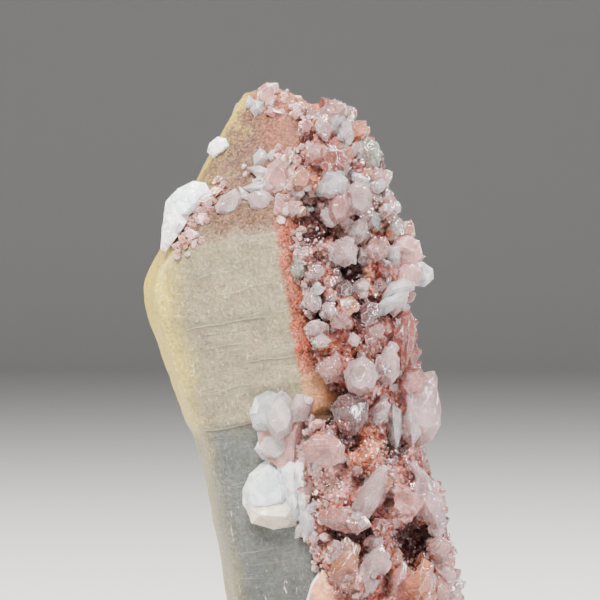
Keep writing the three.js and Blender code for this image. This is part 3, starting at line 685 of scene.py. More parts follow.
def cut_crystal(random, slender):
    """A crystal cut from a block by planes, as points, triangles and which points are on
    its edges. Its radius is about 1, it stands on the origin and is slender times 2 high."""
    shape = bmesh.new()
    bmesh.ops.create_cube(shape, size=10)
    height = 2 * slender
    cuts = []
    turn = random.uniform(0, math.tau)
    for side in range(CRYSTAL_SIDES):
        angle = turn + side * math.tau / CRYSTAL_SIDES
        wall = random.uniform(0.78, 1.0)
        outward = Vector((math.cos(angle), math.sin(angle), random.uniform(-0.02, 0.07)))
        cuts.append((outward.normalized() * wall, outward))
        large = side % 2 == 0
        flat = math.cos(POINT_SLOPE)
        outward = Vector((math.cos(angle) * flat, math.sin(angle) * flat, math.sin(POINT_SLOPE)))
        peak = height * (random.uniform(0.92, 1.05) if large else random.uniform(1.04, 1.28))
        cuts.append((Vector((0, 0, peak)), outward))
        foot = Vector((math.cos(angle) * 0.8, math.sin(angle) * 0.8, -0.6))
        cuts.append((Vector((0, 0, -random.uniform(0.5, 0.9))), foot))
    for place, outward in cuts:
        everything = shape.verts[:] + shape.edges[:] + shape.faces[:]
        cut = bmesh.ops.bisect_plane(
            shape, geom=everything, plane_co=place, plane_no=outward, clear_outer=True,
        )
        rim = [item for item in cut["geom_cut"] if isinstance(item, bmesh.types.BMEdge)]
        if len(rim) >= 3:
            bmesh.ops.contextual_create(shape, geom=rim)
    bmesh.ops.remove_doubles(shape, verts=shape.verts[:], dist=0.03)
    edge_points = len(shape.verts)
    bmesh.ops.poke(shape, faces=shape.faces[:])
    points, faces = points_and_faces(shape)
    return points, faces, np.arange(len(points)) < edge_points


def pointing(direction, spin):
    """A turn that takes +Z to a direction, after a spin round it."""
    return np.array(direction.to_track_quat("Z", "Y").to_matrix() @ Matrix.Rotation(spin, 3, "Z"))


class Heap:
    """Closed crystals gathered into one mesh. Sizes and places are in mm. Each point carries
    its tint and its build: rim (1 on an edge), dust (1 at a dusty root) and growth (mm along
    the crystal). Each crystal is kept as its middle, direction, half length, tint and dust."""

    def __init__(self):
        self.points, self.faces, self.tints, self.builds, self.count = [], [], [], [], 0
        self.crystals = []

    def gather(self, points, faces, rims, roots, growth, tint):
        self.points.append(points)
        self.faces.append(faces + self.count)
        self.tints.append(np.tile(tint, (len(points), 1)))
        self.builds.append(np.column_stack([rims, roots, growth + len(self.crystals) * GROWTH_SHIFT]))
        self.count += len(points)

    def add(self, form, middle, direction, spin, size, tint, dust):
        """Adds a form of size (across, deep, tall) with its middle at a place."""
        points, faces, rims = form
        share = (points[:, 2] - points[:, 2].min()) / np.ptp(points[:, 2])
        shaped = points * np.array(size)
        shaped[:, 2] -= (shaped[:, 2].max() + shaped[:, 2].min()) / 2
        placed = shaped @ pointing(direction, spin).T + np.array(middle)
        roots = dust * (1 - smooth_step(share, 0.05, 0.75))
        self.gather(placed, faces, rims * LOOSE_RIM, roots, shaped[:, 2], tint)
        half = np.ptp(shaped[:, 2]) / 2
        self.crystals.append((np.array(middle), np.array(direction), half, np.array(tint), dust))

    def add_block(self, outline, crests, thick, depth, lean, tint, dust):
        """Adds a block of flat facets. Its outline is seen from the front, its crests stand
        (x, z, so far) in front of the outline, and its back reaches thick behind it. A number
        in place of the crests makes a flat plate, that far in front of its outline."""
        rim = np.array(outline)
        centre = rim.mean(axis=0)
        behind = centre + (rim - centre) * BACK_SHARE
        if isinstance(crests, float):
            crests = [(x, z, crests) for x, z in centre + (rim - centre) * PLATE_SHARE]
        corners = [(x, depth, z) for x, z in rim]
        corners += [(x, depth + thick, z) for x, z in behind]
        corners += [(x, depth - forward, z) for x, z, forward in crests]
        shape = bmesh.new()
        for corner in corners:
            shape.verts.new(corner)
        hull = bmesh.ops.convex_hull(shape, input=shape.verts[:])
        inner = [item for item in hull["geom_interior"] if isinstance(item, bmesh.types.BMVert)]
        bmesh.ops.delete(shape, geom=inner, context="VERTS")
        points, faces = points_and_faces(shape)
        direction = np.array(pointed(lean, 0))
        growth = (points - points.mean(axis=0)) @ direction
        self.gather(points, faces, np.ones(len(points)), np.zeros(len(points)), growth, tint)
        middle = np.array((centre[0], depth, centre[1]))
        half = np.abs((rim - centre) @ direction[[0, 2]]).max()
        self.crystals.append((middle, direction, half, np.array(tint), dust))

    def mesh(self, name):
        points = np.concatenate(self.points)
        points[:, 2] = np.maximum(points[:, 2], FOOT)
        faces = np.concatenate(self.faces)
        mesh = bpy.data.meshes.new(name)
        mesh.vertices.add(len(points))
        mesh.vertices.foreach_set("co", (points * MM).astype(np.float32).ravel())
        mesh.loops.add(len(faces) * 3)
        mesh.loops.foreach_set("vertex_index", faces.astype(np.int32).ravel())
        mesh.polygons.add(len(faces))
        mesh.polygons.foreach_set("loop_start", np.arange(0, len(faces) * 3, 3, dtype=np.int32))
        mesh.update(calc_edges=True)
        mesh.validate()
        mesh.shade_flat()
        paint(mesh, "tint", np.concatenate(self.tints))
        paint(mesh, "build", np.concatenate(self.builds))
        return mesh


def added_object(name, mesh, material):
    mesh.materials.append(material)
    return new_object(name, mesh)


EDGE_BORDER = 0.09  # mm, the pale border beside each edge of a crystal, partly a painted highlight
BORDERED_AREA = 1.3  # a face gets a border if its area is more than this many of its borders
FLATNESS = math.radians(1)  # faces that turn less than this become one
BLUNT_EDGE = math.radians(22)  # an edge that turns less than this has no pale border
SHARP_EDGE = math.radians(50)  # an edge that turns more than this has a full one
LONGEST_SIDE = 0.8  # mm, longer sides of the mesh are parted
PARTINGS = 2
UNEVEN = ((0.09, 0.6, 82), (0.04, 1.7, 83))  # (height in mm, waves per mm, seed) of the faces


def united(heap, name):
    """The heap's crystals as one solid without inner walls, in mm. Each face knows the number
    of the crystal that it belongs to."""
    parts = bpy.data.collections.new(f"{name}_parts")
    bpy.context.scene.collection.children.link(parts)
    for number, (points, faces) in enumerate(zip(heap.points, heap.faces)):
        mesh = bpy.data.meshes.new(f"{name}_{number}")
        mesh.from_pydata(points.tolist(), [], (faces - faces.min()).tolist())
        owner = mesh.attributes.new("owner", "INT", "FACE")
        owner.data.foreach_set("value", np.full(len(faces), number, np.int32))
        parts.objects.link(bpy.data.objects.new(mesh.name, mesh))
    first = parts.objects[0]
    parts.objects.unlink(first)
    bpy.context.scene.collection.objects.link(first)
    if parts.objects:
        modifier = first.modifiers.new("grown", "BOOLEAN")
        modifier.operation = "UNION"
        modifier.solver = "MANIFOLD"
        modifier.operand_type = "COLLECTION"
        modifier.collection = parts
    graph = bpy.context.evaluated_depsgraph_get()
    whole = bpy.data.meshes.new_from_object(first.evaluated_get(graph))
    whole.materials.clear()
    for piece in [first, *parts.objects]:
        bpy.data.objects.remove(piece)
    bpy.data.collections.remove(parts)
    return whole


def grown_together(heap, name, material):
    """The heap's crystals as one piece. Each face gets a narrow border, so that its edges are round and
    pale, partly with a painted highlight, while the face stays flat."""
    mesh = united(heap, name)
    mesh.name = name
    shape = bmesh.new()
    shape.from_mesh(mesh)
    bmesh.ops.dissolve_limit(shape, angle_limit=FLATNESS, verts=shape.verts[:], edges=shape.edges[:])
    corners = set(shape.verts)
    turns = [edge.calc_face_angle_signed(0.0) if edge.is_manifold else 0.0 for edge in shape.edges]
    ridges = dict(zip(shape.edges, smooth_step(np.array(turns), BLUNT_EDGE, SHARP_EDGE)))
    wide = [
        face for face in shape.faces
        if face.calc_area() > BORDERED_AREA * EDGE_BORDER * face.calc_perimeter()
    ]
    for face in set(shape.faces) - set(wide):
        face.smooth = False
    bmesh.ops.inset_individual(shape, faces=wide, thickness=EDGE_BORDER, use_even_offset=False)
    rim_layer = shape.loops.layers.float.new("rim")
    flat = set(wide)
    for face in shape.faces:
        if face in flat:
            continue
        bright = max(ridges.get(edge, 0.0) for edge in face.edges)
        for loop in face.loops:
            loop[rim_layer] = bright * (loop.vert in corners)
    bmesh.ops.triangulate(shape, faces=shape.faces[:])
    for _ in range(PARTINGS):
        long_sides = [edge for edge in shape.edges if edge.calc_length() > LONGEST_SIDE]
        bmesh.ops.subdivide_edges(shape, edges=long_sides, cuts=1)
        bmesh.ops.triangulate(shape, faces=shape.faces[:])
    shape.to_mesh(mesh)
    shape.free()
    sides = read_values(mesh.polygons, "loop_total", kind=np.int32)
    owners = np.repeat(read_values(mesh.attributes["owner"].data, "value", kind=np.int32), sides)
    rims = read_values(mesh.attributes["rim"].data, "value")
    points = mesh_points(mesh)
    places = points[read_values(mesh.loops, "vertex_index", kind=np.int32)]
    points += mesh_normals(mesh) * waves(points, UNEVEN)[:, None]
    points[:, 2] = np.maximum(points[:, 2], FOOT)
    middles, directions, halves, tints, dusts = (np.array(part) for part in zip(*heap.crystals))
    up = ((places - middles[owners]) * directions[owners]).sum(axis=1)
    share = (up / halves[owners] + 1) / 2
    roots = dusts[owners] * (1 - smooth_step(share, 0.0, 0.8))
    paint(mesh, "tint", tints[owners], "CORNER")
    paint(mesh, "build", np.column_stack([rims, roots, up + owners * GROWTH_SHIFT]), "CORNER")
    set_points(mesh, points * MM)
    return added_object(name, mesh, material)


# Surface of a crystal: its own tint with veils inside, pale worn edges with a painted highlight, red dust
# at its root, and growth lines, pits and small broken faces
EDGE_WHITE = (0.97, 0.96, 0.96, 1)
ROOT_DUST = (0.46, 0.15, 0.10, 1)
skin, given, result = shader_group(
    "crystal_surface",
    [("Place", "NodeSocketVector", None), ("Tint", "NodeSocketColor", (0.9, 0.9, 0.9, 1)),
     ("Build", "NodeSocketColor", (0, 0, 0, 1)), ("Face Scale", "NodeSocketFloat", 620.0),
     ("Face Relief", "NodeSocketFloat", 0.05), ("Gloss", "NodeSocketFloat", 0.1)],
    [("Colour", "NodeSocketColor"), ("Roughness", "NodeSocketFloat"), ("Normal", "NodeSocketVector")],
)
build = skin.parts(given["Build"])
broken_faces = skin.group(facets, Place=given["Place"], Scale=given["Face Scale"])
face_shade = skin.spanned(broken_faces["Shade"], to_low=0.68, to_high=1.12)
shaded = skin.scaled(given["Tint"], face_shade)
veils = skin.group(speckle, Place=given["Place"], Colour=shaded, Scale=700.0, Amount=0.22)
# the pale edges: frosted wear, and partly a painted highlight along each edge
edge_wear_and_highlight = skin.spanned(veils["Mask"], low=0.35, high=0.55, to_low=0.5, to_high=1.1)
worn_and_highlit_edge = skin.math("MULTIPLY", build["Red"], edge_wear_and_highlight)
edge = skin.spanned(worn_and_highlit_edge, low=0.1, high=0.9, to_high=0.9, curve="SMOOTHSTEP")
edged = skin.mixed(edge, veils["Colour"], EDGE_WHITE)
folds = skin.group(contours, Place=skin.scaled(given["Place"], 330.0), Count=9.0, Width=0.12)
folded = skin.mixed(skin.math("MULTIPLY", folds["Mask"], 0.4), edged, EDGE_WHITE)
root_patches = skin.math("MULTIPLY", build["Green"], veils["Mask"])
root_share = skin.spanned(root_patches, low=0.14, high=0.5)
striae = skin.noise(skin.add("ShaderNodeCombineXYZ", X=build["Blue"])["Vector"], 6.0, 3.0)
pits = skin.noise(given["Place"], 1700.0, 4.0, Distortion=0.6)
pitted = skin.bump(skin.math("ADD", striae, pits), 0.10 * MM, strength=0.4)
rippled = skin.bump(folds["Height"], 0.08 * MM, Normal=pitted)
face_depth = skin.math("DIVIDE", given["Face Relief"], given["Face Scale"])
haze = skin.spanned(pits, low=0.3, high=0.7, to_low=0.5, to_high=1.8)
skin.fill(
    result,
    Colour=skin.mixed(root_share, folded, ROOT_DUST),
    Normal=skin.bump(broken_faces["Height"], face_depth, Normal=rippled),
    Roughness=skin.math("MULTIPLY_ADD", edge, 0.22, skin.math("MULTIPLY", haze, given["Gloss"])),
)


def crystal_material(name, clear, gloss, scatter, thick, stain, face_scale=620.0, face_relief=0.05):
    """Half-clear quartz, with the crystal surface, in a glass that absorbs a little."""
    material, shader = new_material(name)
    nodes = Nodes(material.node_tree)
    surface = nodes.group(
        skin, Place=nodes.place(), Tint=nodes.painted("tint"), Build=nodes.painted("build"),
        Face_Scale=face_scale, Face_Relief=face_relief, Gloss=gloss,
    )
    nodes.fill(
        shader,
        Base_Color=surface["Colour"],
        Roughness=surface["Roughness"],
        Normal=surface["Normal"],
        IOR=QUARTZ_IOR,
        Transmission_Weight=clear,
        Subsurface_Weight=scatter,
        Subsurface_Radius=(1.0, 0.85, 0.8),
        Subsurface_Scale=1.5 * MM,
    )
    absorption = nodes.add("ShaderNodeVolumeAbsorption", Color=(*stain, 1), Density=thick)
    nodes.fill(material.node_tree.nodes["Material Output"], Volume=absorption["Volume"])
    return material


# Name, transmission, roughness, scatter, absorption and its colour. Two also have their own
# number of small faces to the metre, and their own relief.
clear_material = crystal_material("clear_quartz", 0.80, 0.06, 0.25, 260.0, (0.97, 0.72, 0.69))
hazy_material = crystal_material("hazy_quartz", 0.82, 0.07, 0.4, 200.0, (0.95, 0.84, 0.86))
frosted_material = crystal_material("frosted_quartz", 0.68, 0.09, 0.5, 90.0, (0.97, 0.88, 0.86))
milky_material = crystal_material("milky_quartz", 0.32, 0.14, 0.7, 60.0, (0.95, 0.96, 0.99))
sugar_material = crystal_material("sugary_quartz", 0.15, 0.16, 0.5, 20.0, (0.95, 0.95, 0.95), 1500.0, 0.32)
druse_material = crystal_material("druse", 0.45, 0.10, 0.4, 60.0, (0.97, 0.80, 0.76), 1300.0, 0.1)

form_random = np.random.default_rng(7)
crystal_forms = [
    cut_crystal(form_random, form_random.uniform(0.8, 1.25)) for _ in range(CRYSTAL_FORMS)
]

WHITE = (0.98, 0.98, 0.98)
BLUISH = (0.89, 0.94, 0.99)
CLEAR = (0.89, 0.68, 0.67)
PINK = (0.79, 0.41, 0.38)
ROSE = (0.52, 0.18, 0.15)
ORANGE = (0.74, 0.32, 0.18)
GREENISH = (0.66, 0.74, 0.60)
SMOKY = (0.26, 0.15, 0.15)
PALE = (0.94, 0.87, 0.86)
# cream and darker than the white: partly a tint, partly painted shade for the white block's underside
SHADED_CREAM = (0.88, 0.78, 0.64)

NEAREST = cad_box[0][1] / MM - 0.4  # mm, no crystal stands nearer to the front than this
LOOK_START = -100  # mm, well in front of everything
LOOK_STEP = 0.4  # mm, how far a look that met nothing moves in towards the axis
AXIS_REACH = 0.6  # mm from the axis, where the search ends
ground_points = []
ground_faces = []
for ground_name in ("quartz_scepter", "flank_crust"):
    ground_mesh = frame["nodes"][ground_name].data
    shift = len(ground_points)
    ground_points += [vertex.co.copy() for vertex in ground_mesh.vertices]
    ground_faces += [[index + shift for index in polygon.vertices] for polygon in ground_mesh.polygons]
ground_tree = BVHTree.FromPolygons(ground_points, ground_faces)


def ground_seen(x, z):
    """Where a look from the front meets the crust or crystal at x and z, or None."""
    return ground_tree.ray_cast(Vector((x, LOOK_START, z)) * MM, Vector((0, 1, 0)))[0]


def ground_depth(x, z):
    """Depth in mm of the crust or crystal at x and z. Beside them the look from the front
    moves in towards the axis until it meets them."""
    axis_x = -z * math.tan(LEAN)
    while abs(x - axis_x) > AXIS_REACH:
        met = ground_seen(x, z)
        if met is not None:
            return met.y / MM
        x += math.copysign(LOOK_STEP, axis_x - x)
    return 0.0


def pointed(lean, toward):
    """The direction of a crystal that leans to the right and turns towards the front."""
    lean, toward = math.radians(lean), math.radians(toward)
    across = math.cos(toward)
    return Vector((math.sin(lean) * across, -math.sin(toward), math.cos(lean) * across))


def place_crystals(heap, rows, seat, random, followers):
    """Adds a table of crystals (x, z, length, radius, lean, toward, tint, dust): the middle as
    seen from the front in mm, the size in mm, and where its point leans and turns. The middle
    stands seat radii in front of what carries it. Shorter crystals grow beside each one in
    the same direction."""
    for x, z, length, radius, lean, toward, tint, dust in rows:
        direction = pointed(lean, toward)
        reach = 0.6 * length * abs(direction.y) + radius
        middle = np.array((x, max(ground_depth(x, z) - seat * radius, NEAREST + reach), z))
        for number in range(1 + followers):
            form = crystal_forms[int(random.integers(CRYSTAL_FORMS))]
            across, tall, place = radius, length, middle
            if number:
                across = radius * random.uniform(0.35, 0.62)
                tall = length * random.uniform(0.4, 0.8)
                angle = random.uniform(0, math.tau)
                beside = pointing(direction, angle)[:, 0] * radius * random.uniform(0.5, 0.75)
                along = np.array(direction) * (length - tall) * random.uniform(-0.2, 0.45)
                place = middle + beside - along
            size = (across, across * 0.88, tall / np.ptp(form[0][:, 2]))
            colour = np.clip(np.array(tint) * random.uniform(0.92, 1.06), 0, 1)
            heap.add(form, place, direction, random.uniform(0, math.tau), size, colour, dust)


CRYSTAL_SEAT = 0.6  # radii that the middle stands in front of what carries it
COMPANION_SEAT = 0.3  # the same for the small companions of a block
FLANK_CRYSTALS = [
    (-2.4, 87.0, 4.6, 2.2, 0, 12, PINK, 0.5), (-2.4, 84.9, 4.0, 1.0, 2, 30, WHITE, 0.1),
    (-4.1, 84.6, 4.6, 1.4, -16, 28, CLEAR, 0.4), (-0.9, 84.0, 5.0, 1.4, 20, 24, WHITE, 0.2),
    (-0.7, 86.3, 4.0, 1.4, 36, 15, ORANGE, 0.7), (0.9, 84.4, 3.8, 1.4, 42, 12, ORANGE, 0.8),
    (3.0, 80.9, 5.6, 1.3, -14, 6, GREENISH, 0.1), (4.0, 76.9, 3.8, 1.1, 4, 5, PINK, 0.3),
    (-6.9, 84.6, 3.6, 1.2, 10, 35, PINK, 0.6), (-5.5, 80.6, 3.6, 1.4, -20, 40, PINK, 0.5),
    (-2.4, 79.8, 4.0, 2.0, 4, 42, ROSE, 0.3), (-2.9, 76.3, 5.0, 2.0, -26, 34, BLUISH, 0.1),
    (0.7, 77.3, 3.8, 0.9, 100, 12, WHITE, 0.0), (0.9, 74.2, 5.4, 2.0, 15, 40, CLEAR, 0.2),
    (-1.7, 73.0, 5.0, 1.9, -10, 42, PINK, 0.3), (-7.4, 77.0, 4.4, 1.5, 10, 35, ORANGE, 0.6),
    (1.0, 69.5, 5.6, 1.2, 19, 25, CLEAR, 0.2), (4.9, 74.4, 2.8, 1.0, 12, 12, WHITE, 0.0),
    (5.2, 72.6, 3.4, 1.1, 58, 12, CLEAR, 0.3), (6.5, 70.0, 3.2, 1.0, 20, 20, WHITE, 0.3),
    (8.4, 69.3, 4.0, 0.9, 12, 10, ORANGE, 0.3), (-1.3, 66.4, 4.2, 1.9, -10, 58, CLEAR, 0.2),
    (3.6, 66.8, 4.4, 1.6, 30, 45, PINK, 0.3), (-8.2, 63.7, 4.2, 1.1, 6, 22, GREENISH, 0.0),
    (-5.4, 63.6, 3.0, 1.1, 30, 40, CLEAR, 0.2), (-5.1, 61.1, 2.8, 0.9, 78, 30, WHITE, 0.0),
    (-5.8, 59.0, 3.6, 1.2, -12, 35, CLEAR, 0.3), (-3.6, 57.8, 3.8, 1.2, 8, 42, CLEAR, 0.3),
    (-1.9, 56.3, 4.0, 1.5, -15, 50, PINK, 0.3), (-0.6, 58.6, 3.4, 1.5, 178, 24, ORANGE, 0.6),
    (-5.4, 55.3, 4.0, 1.2, 62, 30, CLEAR, 0.2), (-4.6, 53.7, 3.4, 1.2, 95, 30, CLEAR, 0.2),
    (0.2, 53.6, 3.0, 1.1, 20, 50, CLEAR, 0.3), (3.2, 55.0, 3.6, 1.6, 40, 40, PINK, 0.5),
    (4.6, 63.8, 3.8, 1.5, -30, 40, ROSE, 0.3), (-1.2, 61.0, 3.4, 1.2, 30, 40, SMOKY, 0.2),
    (1.3, 61.2, 3.6, 1.3, 15, 40, CLEAR, 0.2), (2.7, 57.8, 3.8, 1.7, -10, 45, SMOKY, 0.2),
    (7.9, 53.4, 9.8, 1.8, 8, 8, ROSE, 0.6), (5.2, 50.0, 6.2, 1.7, 8, 28, CLEAR, 0.2),
    (1.2, 48.2, 6.0, 2.4, -8, 48, CLEAR, 0.2), (-3.4, 49.4, 4.6, 1.8, -14, 50, PINK, 0.2),
    (-0.6, 42.6, 6.6, 2.5, 0, 42, ROSE, 0.2), (3.9, 42.7, 5.0, 1.4, 40, 30, CLEAR, 0.4),
    (-4.2, 37.6, 6.6, 1.9, 108, 26, PINK, 0.5), (0.6, 34.4, 3.0, 0.9, 20, 55, PINK, 0.8),
    (-6.8, 31.9, 2.8, 0.9, 10, 35, WHITE, 0.1), (2.5, 30.4, 9.8, 1.7, 28, 18, CLEAR, 0.2),
    (-1.1, 27.3, 7.4, 1.6, 102, 26, PINK, 0.5), (4.1, 26.3, 3.6, 1.4, 0, 55, ROSE, 0.3),
    (11.7, 29.0, 10.8, 1.9, -15, 8, CLEAR, 0.4), (8.4, 29.4, 5.4, 2.4, 20, 50, PINK, 0.6),
    (12.9, 22.0, 4.6, 1.8, 60, 20, PINK, 0.4), (14.0, 18.6, 4.0, 1.2, 130, 15, CLEAR, 0.2),
    (9.8, 17.0, 6.6, 2.4, 24, 42, ORANGE, 0.6), (3.6, 20.4, 5.8, 1.6, 32, 30, CLEAR, 0.4),
    (-2.2, 22.6, 4.8, 1.8, -16, 40, PINK, 0.5), (0.2, 17.8, 5.4, 1.9, 12, 42, ORANGE, 0.5),
    (5.6, 13.4, 6.0, 2.1, 16, 40, PINK, 0.5), (12.4, 12.0, 6.4, 2.0, 22, 25, PINK, 0.5),
    (0.8, 8.6, 5.8, 2.0, -14, 40, CLEAR, 0.4), (7.4, 6.0, 5.6, 2.2, 10, 40, PINK, 0.5),
    (14.8, 5.2, 5.0, 1.8, 34, 20, CLEAR, 0.4), (-3.2, 71.6, 4.2, 1.5, -20, 40, CLEAR, 0.2),
    (2.6, 71.0, 4.0, 1.4, 20, 35, BLUISH, 0.1), (-0.2, 69.6, 4.4, 1.5, 0, 40, CLEAR, 0.1),
    (3.6, 76.0, 3.6, 1.3, 30, 25, WHITE, 0.1), (0.8, 81.4, 3.6, 1.2, 20, 30, CLEAR, 0.2),
    (7.0, 13.0, 4.6, 1.4, 40, 30, CLEAR, 0.3), (3.0, 23.4, 4.2, 1.3, 50, 30, CLEAR, 0.2),
    (1.8, 66.0, 3.6, 1.3, -30, 40, CLEAR, 0.2), (6.0, 66.2, 3.6, 1.2, 50, 25, WHITE, 0.1),
]
# Larger blocks of the crust: (tint, dust, lean, thick, outline, crests)
FLANK_BLOCKS = [
    (WHITE, 0.2, 0, 2.6, [(-5.3, 86.4), (-4.4, 87.9), (-2.9, 88.8), (-1.4, 88.5), (-0.2, 87.3),
     (0.1, 85.8), (-1.7, 85.2), (-3.8, 85.5)], 1.1),
    (GREENISH, 0.0, -14, 2.4, [(1.8, 82.2), (2.5, 83.4), (3.6, 82.2), (4.2, 80.7), (3.7, 78.6),
     (2.5, 78.3), (1.6, 80.1)], [(2.8, 81.6, 1.3), (2.8, 79.5, 1.3)]),
    (PINK, 0.2, 0, 2.6, [(-4.4, 79.4), (-3.0, 81.5), (-1.7, 81.0), (-0.5, 78.9), (-0.8, 77.7),
     (-2.9, 77.4), (-4.1, 78.0)], 1.4),
    (BLUISH, 0.0, -26, 2.6, [(-5.0, 76.5), (-3.8, 78.0), (-2.0, 78.3), (-0.8, 76.8), (-1.4, 74.7),
     (-3.5, 74.3), (-4.8, 75.0)], 1.7),
    (CLEAR, 0.1, 15, 3.0, [(-1.1, 75.6), (0.4, 76.8), (2.2, 76.5), (2.8, 74.7), (2.7, 72.9), (1.3, 71.7),
     (-0.5, 72.3)], 2.0),
    (PINK, 0.1, -10, 3.0, [(-3.5, 73.8), (-2.4, 75.6), (-0.8, 75.3), (-0.2, 73.2), (-0.8, 71.1),
     (-2.6, 70.5), (-3.5, 72.0)], 2.2),
    (CLEAR, 0.1, -10, 2.8, [(-3.0, 66.3), (-2.1, 67.8), (-0.5, 68.1), (0.7, 66.9), (0.4, 65.1),
     (-1.2, 64.3), (-2.7, 65.0)], [(-1.1, 66.4, 2.2)]),
    (CLEAR, 0.1, -8, 3.2, [(-1.2, 48.3), (-0.5, 50.4), (1.3, 51.3), (3.1, 50.4), (3.7, 48.3), (2.8, 46.2),
     (1.0, 45.5), (-0.6, 46.2)], 2.0),
    (CLEAR, 0.0, 8, 3.0, [(3.9, 50.7), (4.8, 52.5), (6.1, 52.5), (7.0, 50.7), (6.9, 48.3), (5.8, 46.8),
     (4.3, 47.4)], 1.6),
    (PINK, 0.2, -14, 2.6, [(-5.0, 49.2), (-4.1, 51.0), (-2.3, 51.6), (-1.4, 49.8), (-2.0, 47.7),
     (-3.8, 47.1)], [(-3.2, 49.5, 1.8)]),
    (SMOKY, 0.1, 0, 3.2, [(-3.2, 43.5), (-2.0, 45.3), (0.1, 45.9), (2.2, 44.7), (2.2, 42.0), (0.4, 39.6),
     (-1.7, 40.2)], [(-0.8, 43.8, 2.0), (0.7, 41.7, 2.0)]),
    (CLEAR, 0.3, 40, 2.0, [(1.9, 41.7), (3.1, 43.8), (4.9, 45.0), (5.7, 43.8), (4.9, 41.7), (3.1, 40.5)],
     [(3.7, 42.6, 1.4)]),
    (ROSE, 0.5, 8, 3.0, [(6.6, 56.4), (7.6, 57.9), (8.7, 56.4), (9.3, 53.7), (10.0, 51.0), (9.1, 49.2),
     (7.6, 49.5), (6.7, 52.2)], [(7.9, 55.2, 1.4), (8.5, 51.6, 1.4)]),
    (PINK, 0.5, 100, 2.0, [(-7.7, 38.1), (-5.9, 39.6), (-3.2, 39.9), (-1.1, 38.1), (-1.4, 36.0),
     (-3.8, 34.8), (-6.5, 36.0)], [(-4.7, 38.1, 1.2)]),
    (CLEAR, 0.2, 28, 2.6, [(0.1, 27.3), (-0.2, 29.1), (1.3, 31.8), (3.1, 34.2), (4.6, 34.8), (5.2, 33.3),
     (4.3, 30.3), (2.5, 27.3), (1.0, 26.1)], [(4.0, 33.6, 2.0), (2.2, 30.6, 2.8), (1.3, 28.2, 2.4)]),
    (PINK, 0.5, 100, 3.0, [(-5.3, 27.9), (-3.8, 29.1), (-0.8, 28.8), (1.9, 27.9), (2.8, 26.4),
     (0.7, 25.2), (-2.6, 25.8), (-4.7, 26.7)], [(-1.4, 27.3, 2.6)]),
    (CLEAR, 0.2, -15, 2.6, [(8.8, 35.1), (10.6, 34.2), (12.4, 31.8), (13.8, 28.8), (13.9, 25.8),
     (13.0, 23.1), (12.2, 24.6), (12.1, 28.5), (10.6, 31.5)], [(12.2, 30.4, 1.2), (13.0, 26.4, 1.0)]),
    (PINK, 0.4, 60, 2.6, [(11.5, 23.1), (13.0, 24.6), (14.8, 23.1), (15.4, 20.7), (13.9, 19.2),
     (11.8, 20.1)], [(13.3, 21.9, 1.6)]),
    (CLEAR, 0.3, 20, 2.6, [(13.6, 18.0), (15.1, 18.6), (16.3, 16.5), (16.6, 14.1), (14.5, 13.5),
     (13.3, 15.3)], [(14.8, 15.9, 1.4)]),
    (ORANGE, 0.5, 4, 3.0, [(-2.9, 23.1), (-0.8, 24.9), (1.0, 23.1), (0.7, 19.2), (-1.1, 17.1),
     (-3.2, 18.6)], [(-1.1, 21.0, 1.8)]),
    (CLEAR, 0.3, 32, 3.0, [(0.1, 15.6), (-0.2, 18.6), (2.2, 21.9), (4.3, 23.7), (5.2, 22.2), (3.7, 18.9),
     (1.6, 15.9)], [(2.5, 19.5, 2.0)]),
    (PINK, 0.6, 30, 3.0, [(4.6, 14.4), (5.4, 18.3), (7.6, 20.7), (8.8, 19.2), (8.2, 15.0), (6.4, 12.0)],
     [(6.6, 17.4, 1.8)]),
    (ORANGE, 0.6, 34, 3.0, [(7.0, 12.6), (7.9, 17.4), (10.6, 21.3), (12.1, 20.4), (11.2, 15.6),
     (9.1, 12.0)], [(9.4, 17.4, 2.2)]),
    (PINK, 0.6, 42, 3.0, [(10.0, 12.0), (11.2, 16.5), (13.9, 20.1), (15.4, 18.3), (14.5, 14.4),
     (12.4, 11.4)], [(12.7, 16.2, 2.0)]),
    (WHITE, 0.0, 10, 1.6, [(10.6, 18.6), (11.2, 19.4), (12.0, 18.2), (12.1, 16.6), (11.2, 16.2)],
     [(11.4, 17.9, 0.8)]),
]
BLOCK_SEAT = 0.3  # share of a block's thickness that stands in front of what carries it
COMPANION_PLACE = 0.85  # how far out along the block's outline its small companions stand


def add_companions(heap, rows, random):
    """Adds small crystals that grow beside the blocks of a table, under their rims."""
    for tint, dust, lean, _, outline, *_ in rows:
        rim = np.array(outline)
        centre = rim.mean(axis=0)
        beside = []
        for x, z in (centre + (rim - centre) * COMPANION_PLACE)[::2]:
            radius = random.uniform(0.5, 1.0)
            length = radius * random.uniform(2.2, 3.4)
            turned = lean + random.uniform(-40, 40)
            beside.append((x, z, length, radius, turned, random.uniform(10, 50), tint, dust + 0.2))
        place_crystals(heap, beside, COMPANION_SEAT, random, followers=1)


def place_blocks(heap, rows):
    """Adds a table of blocks, each on the surface behind the middle of its outline, or behind
    the place named last in its row."""
    for tint, dust, lean, thick, outline, crests, *anchor in rows:
        x, z = anchor[0] if anchor else np.mean(outline, axis=0)
        forward = crests if isinstance(crests, float) else max(crest[2] for crest in crests)
        depth = max(ground_depth(x, z) - BLOCK_SEAT * thick, NEAREST + forward)
        heap.add_block(outline, crests, thick, depth, lean, tint, dust)


flank_random = np.random.default_rng(21)
for group_name, group_tints, material in (
    ("clear_crystals", (CLEAR, PINK, ROSE, ORANGE, SMOKY), clear_material),
    ("white_crystals", (WHITE, BLUISH, GREENISH), hazy_material),
):
    flank_heap = Heap()
    group_rows = [row for row in FLANK_CRYSTALS if row[6] in group_tints]
    place_crystals(flank_heap, group_rows, CRYSTAL_SEAT, flank_random, followers=3)
    group_blocks = [row for row in FLANK_BLOCKS if row[0] in group_tints]
    place_blocks(flank_heap, group_blocks)
    add_companions(flank_heap, group_blocks, flank_random)
    group = grown_together(flank_heap, group_name, material)
    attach(group, "root")


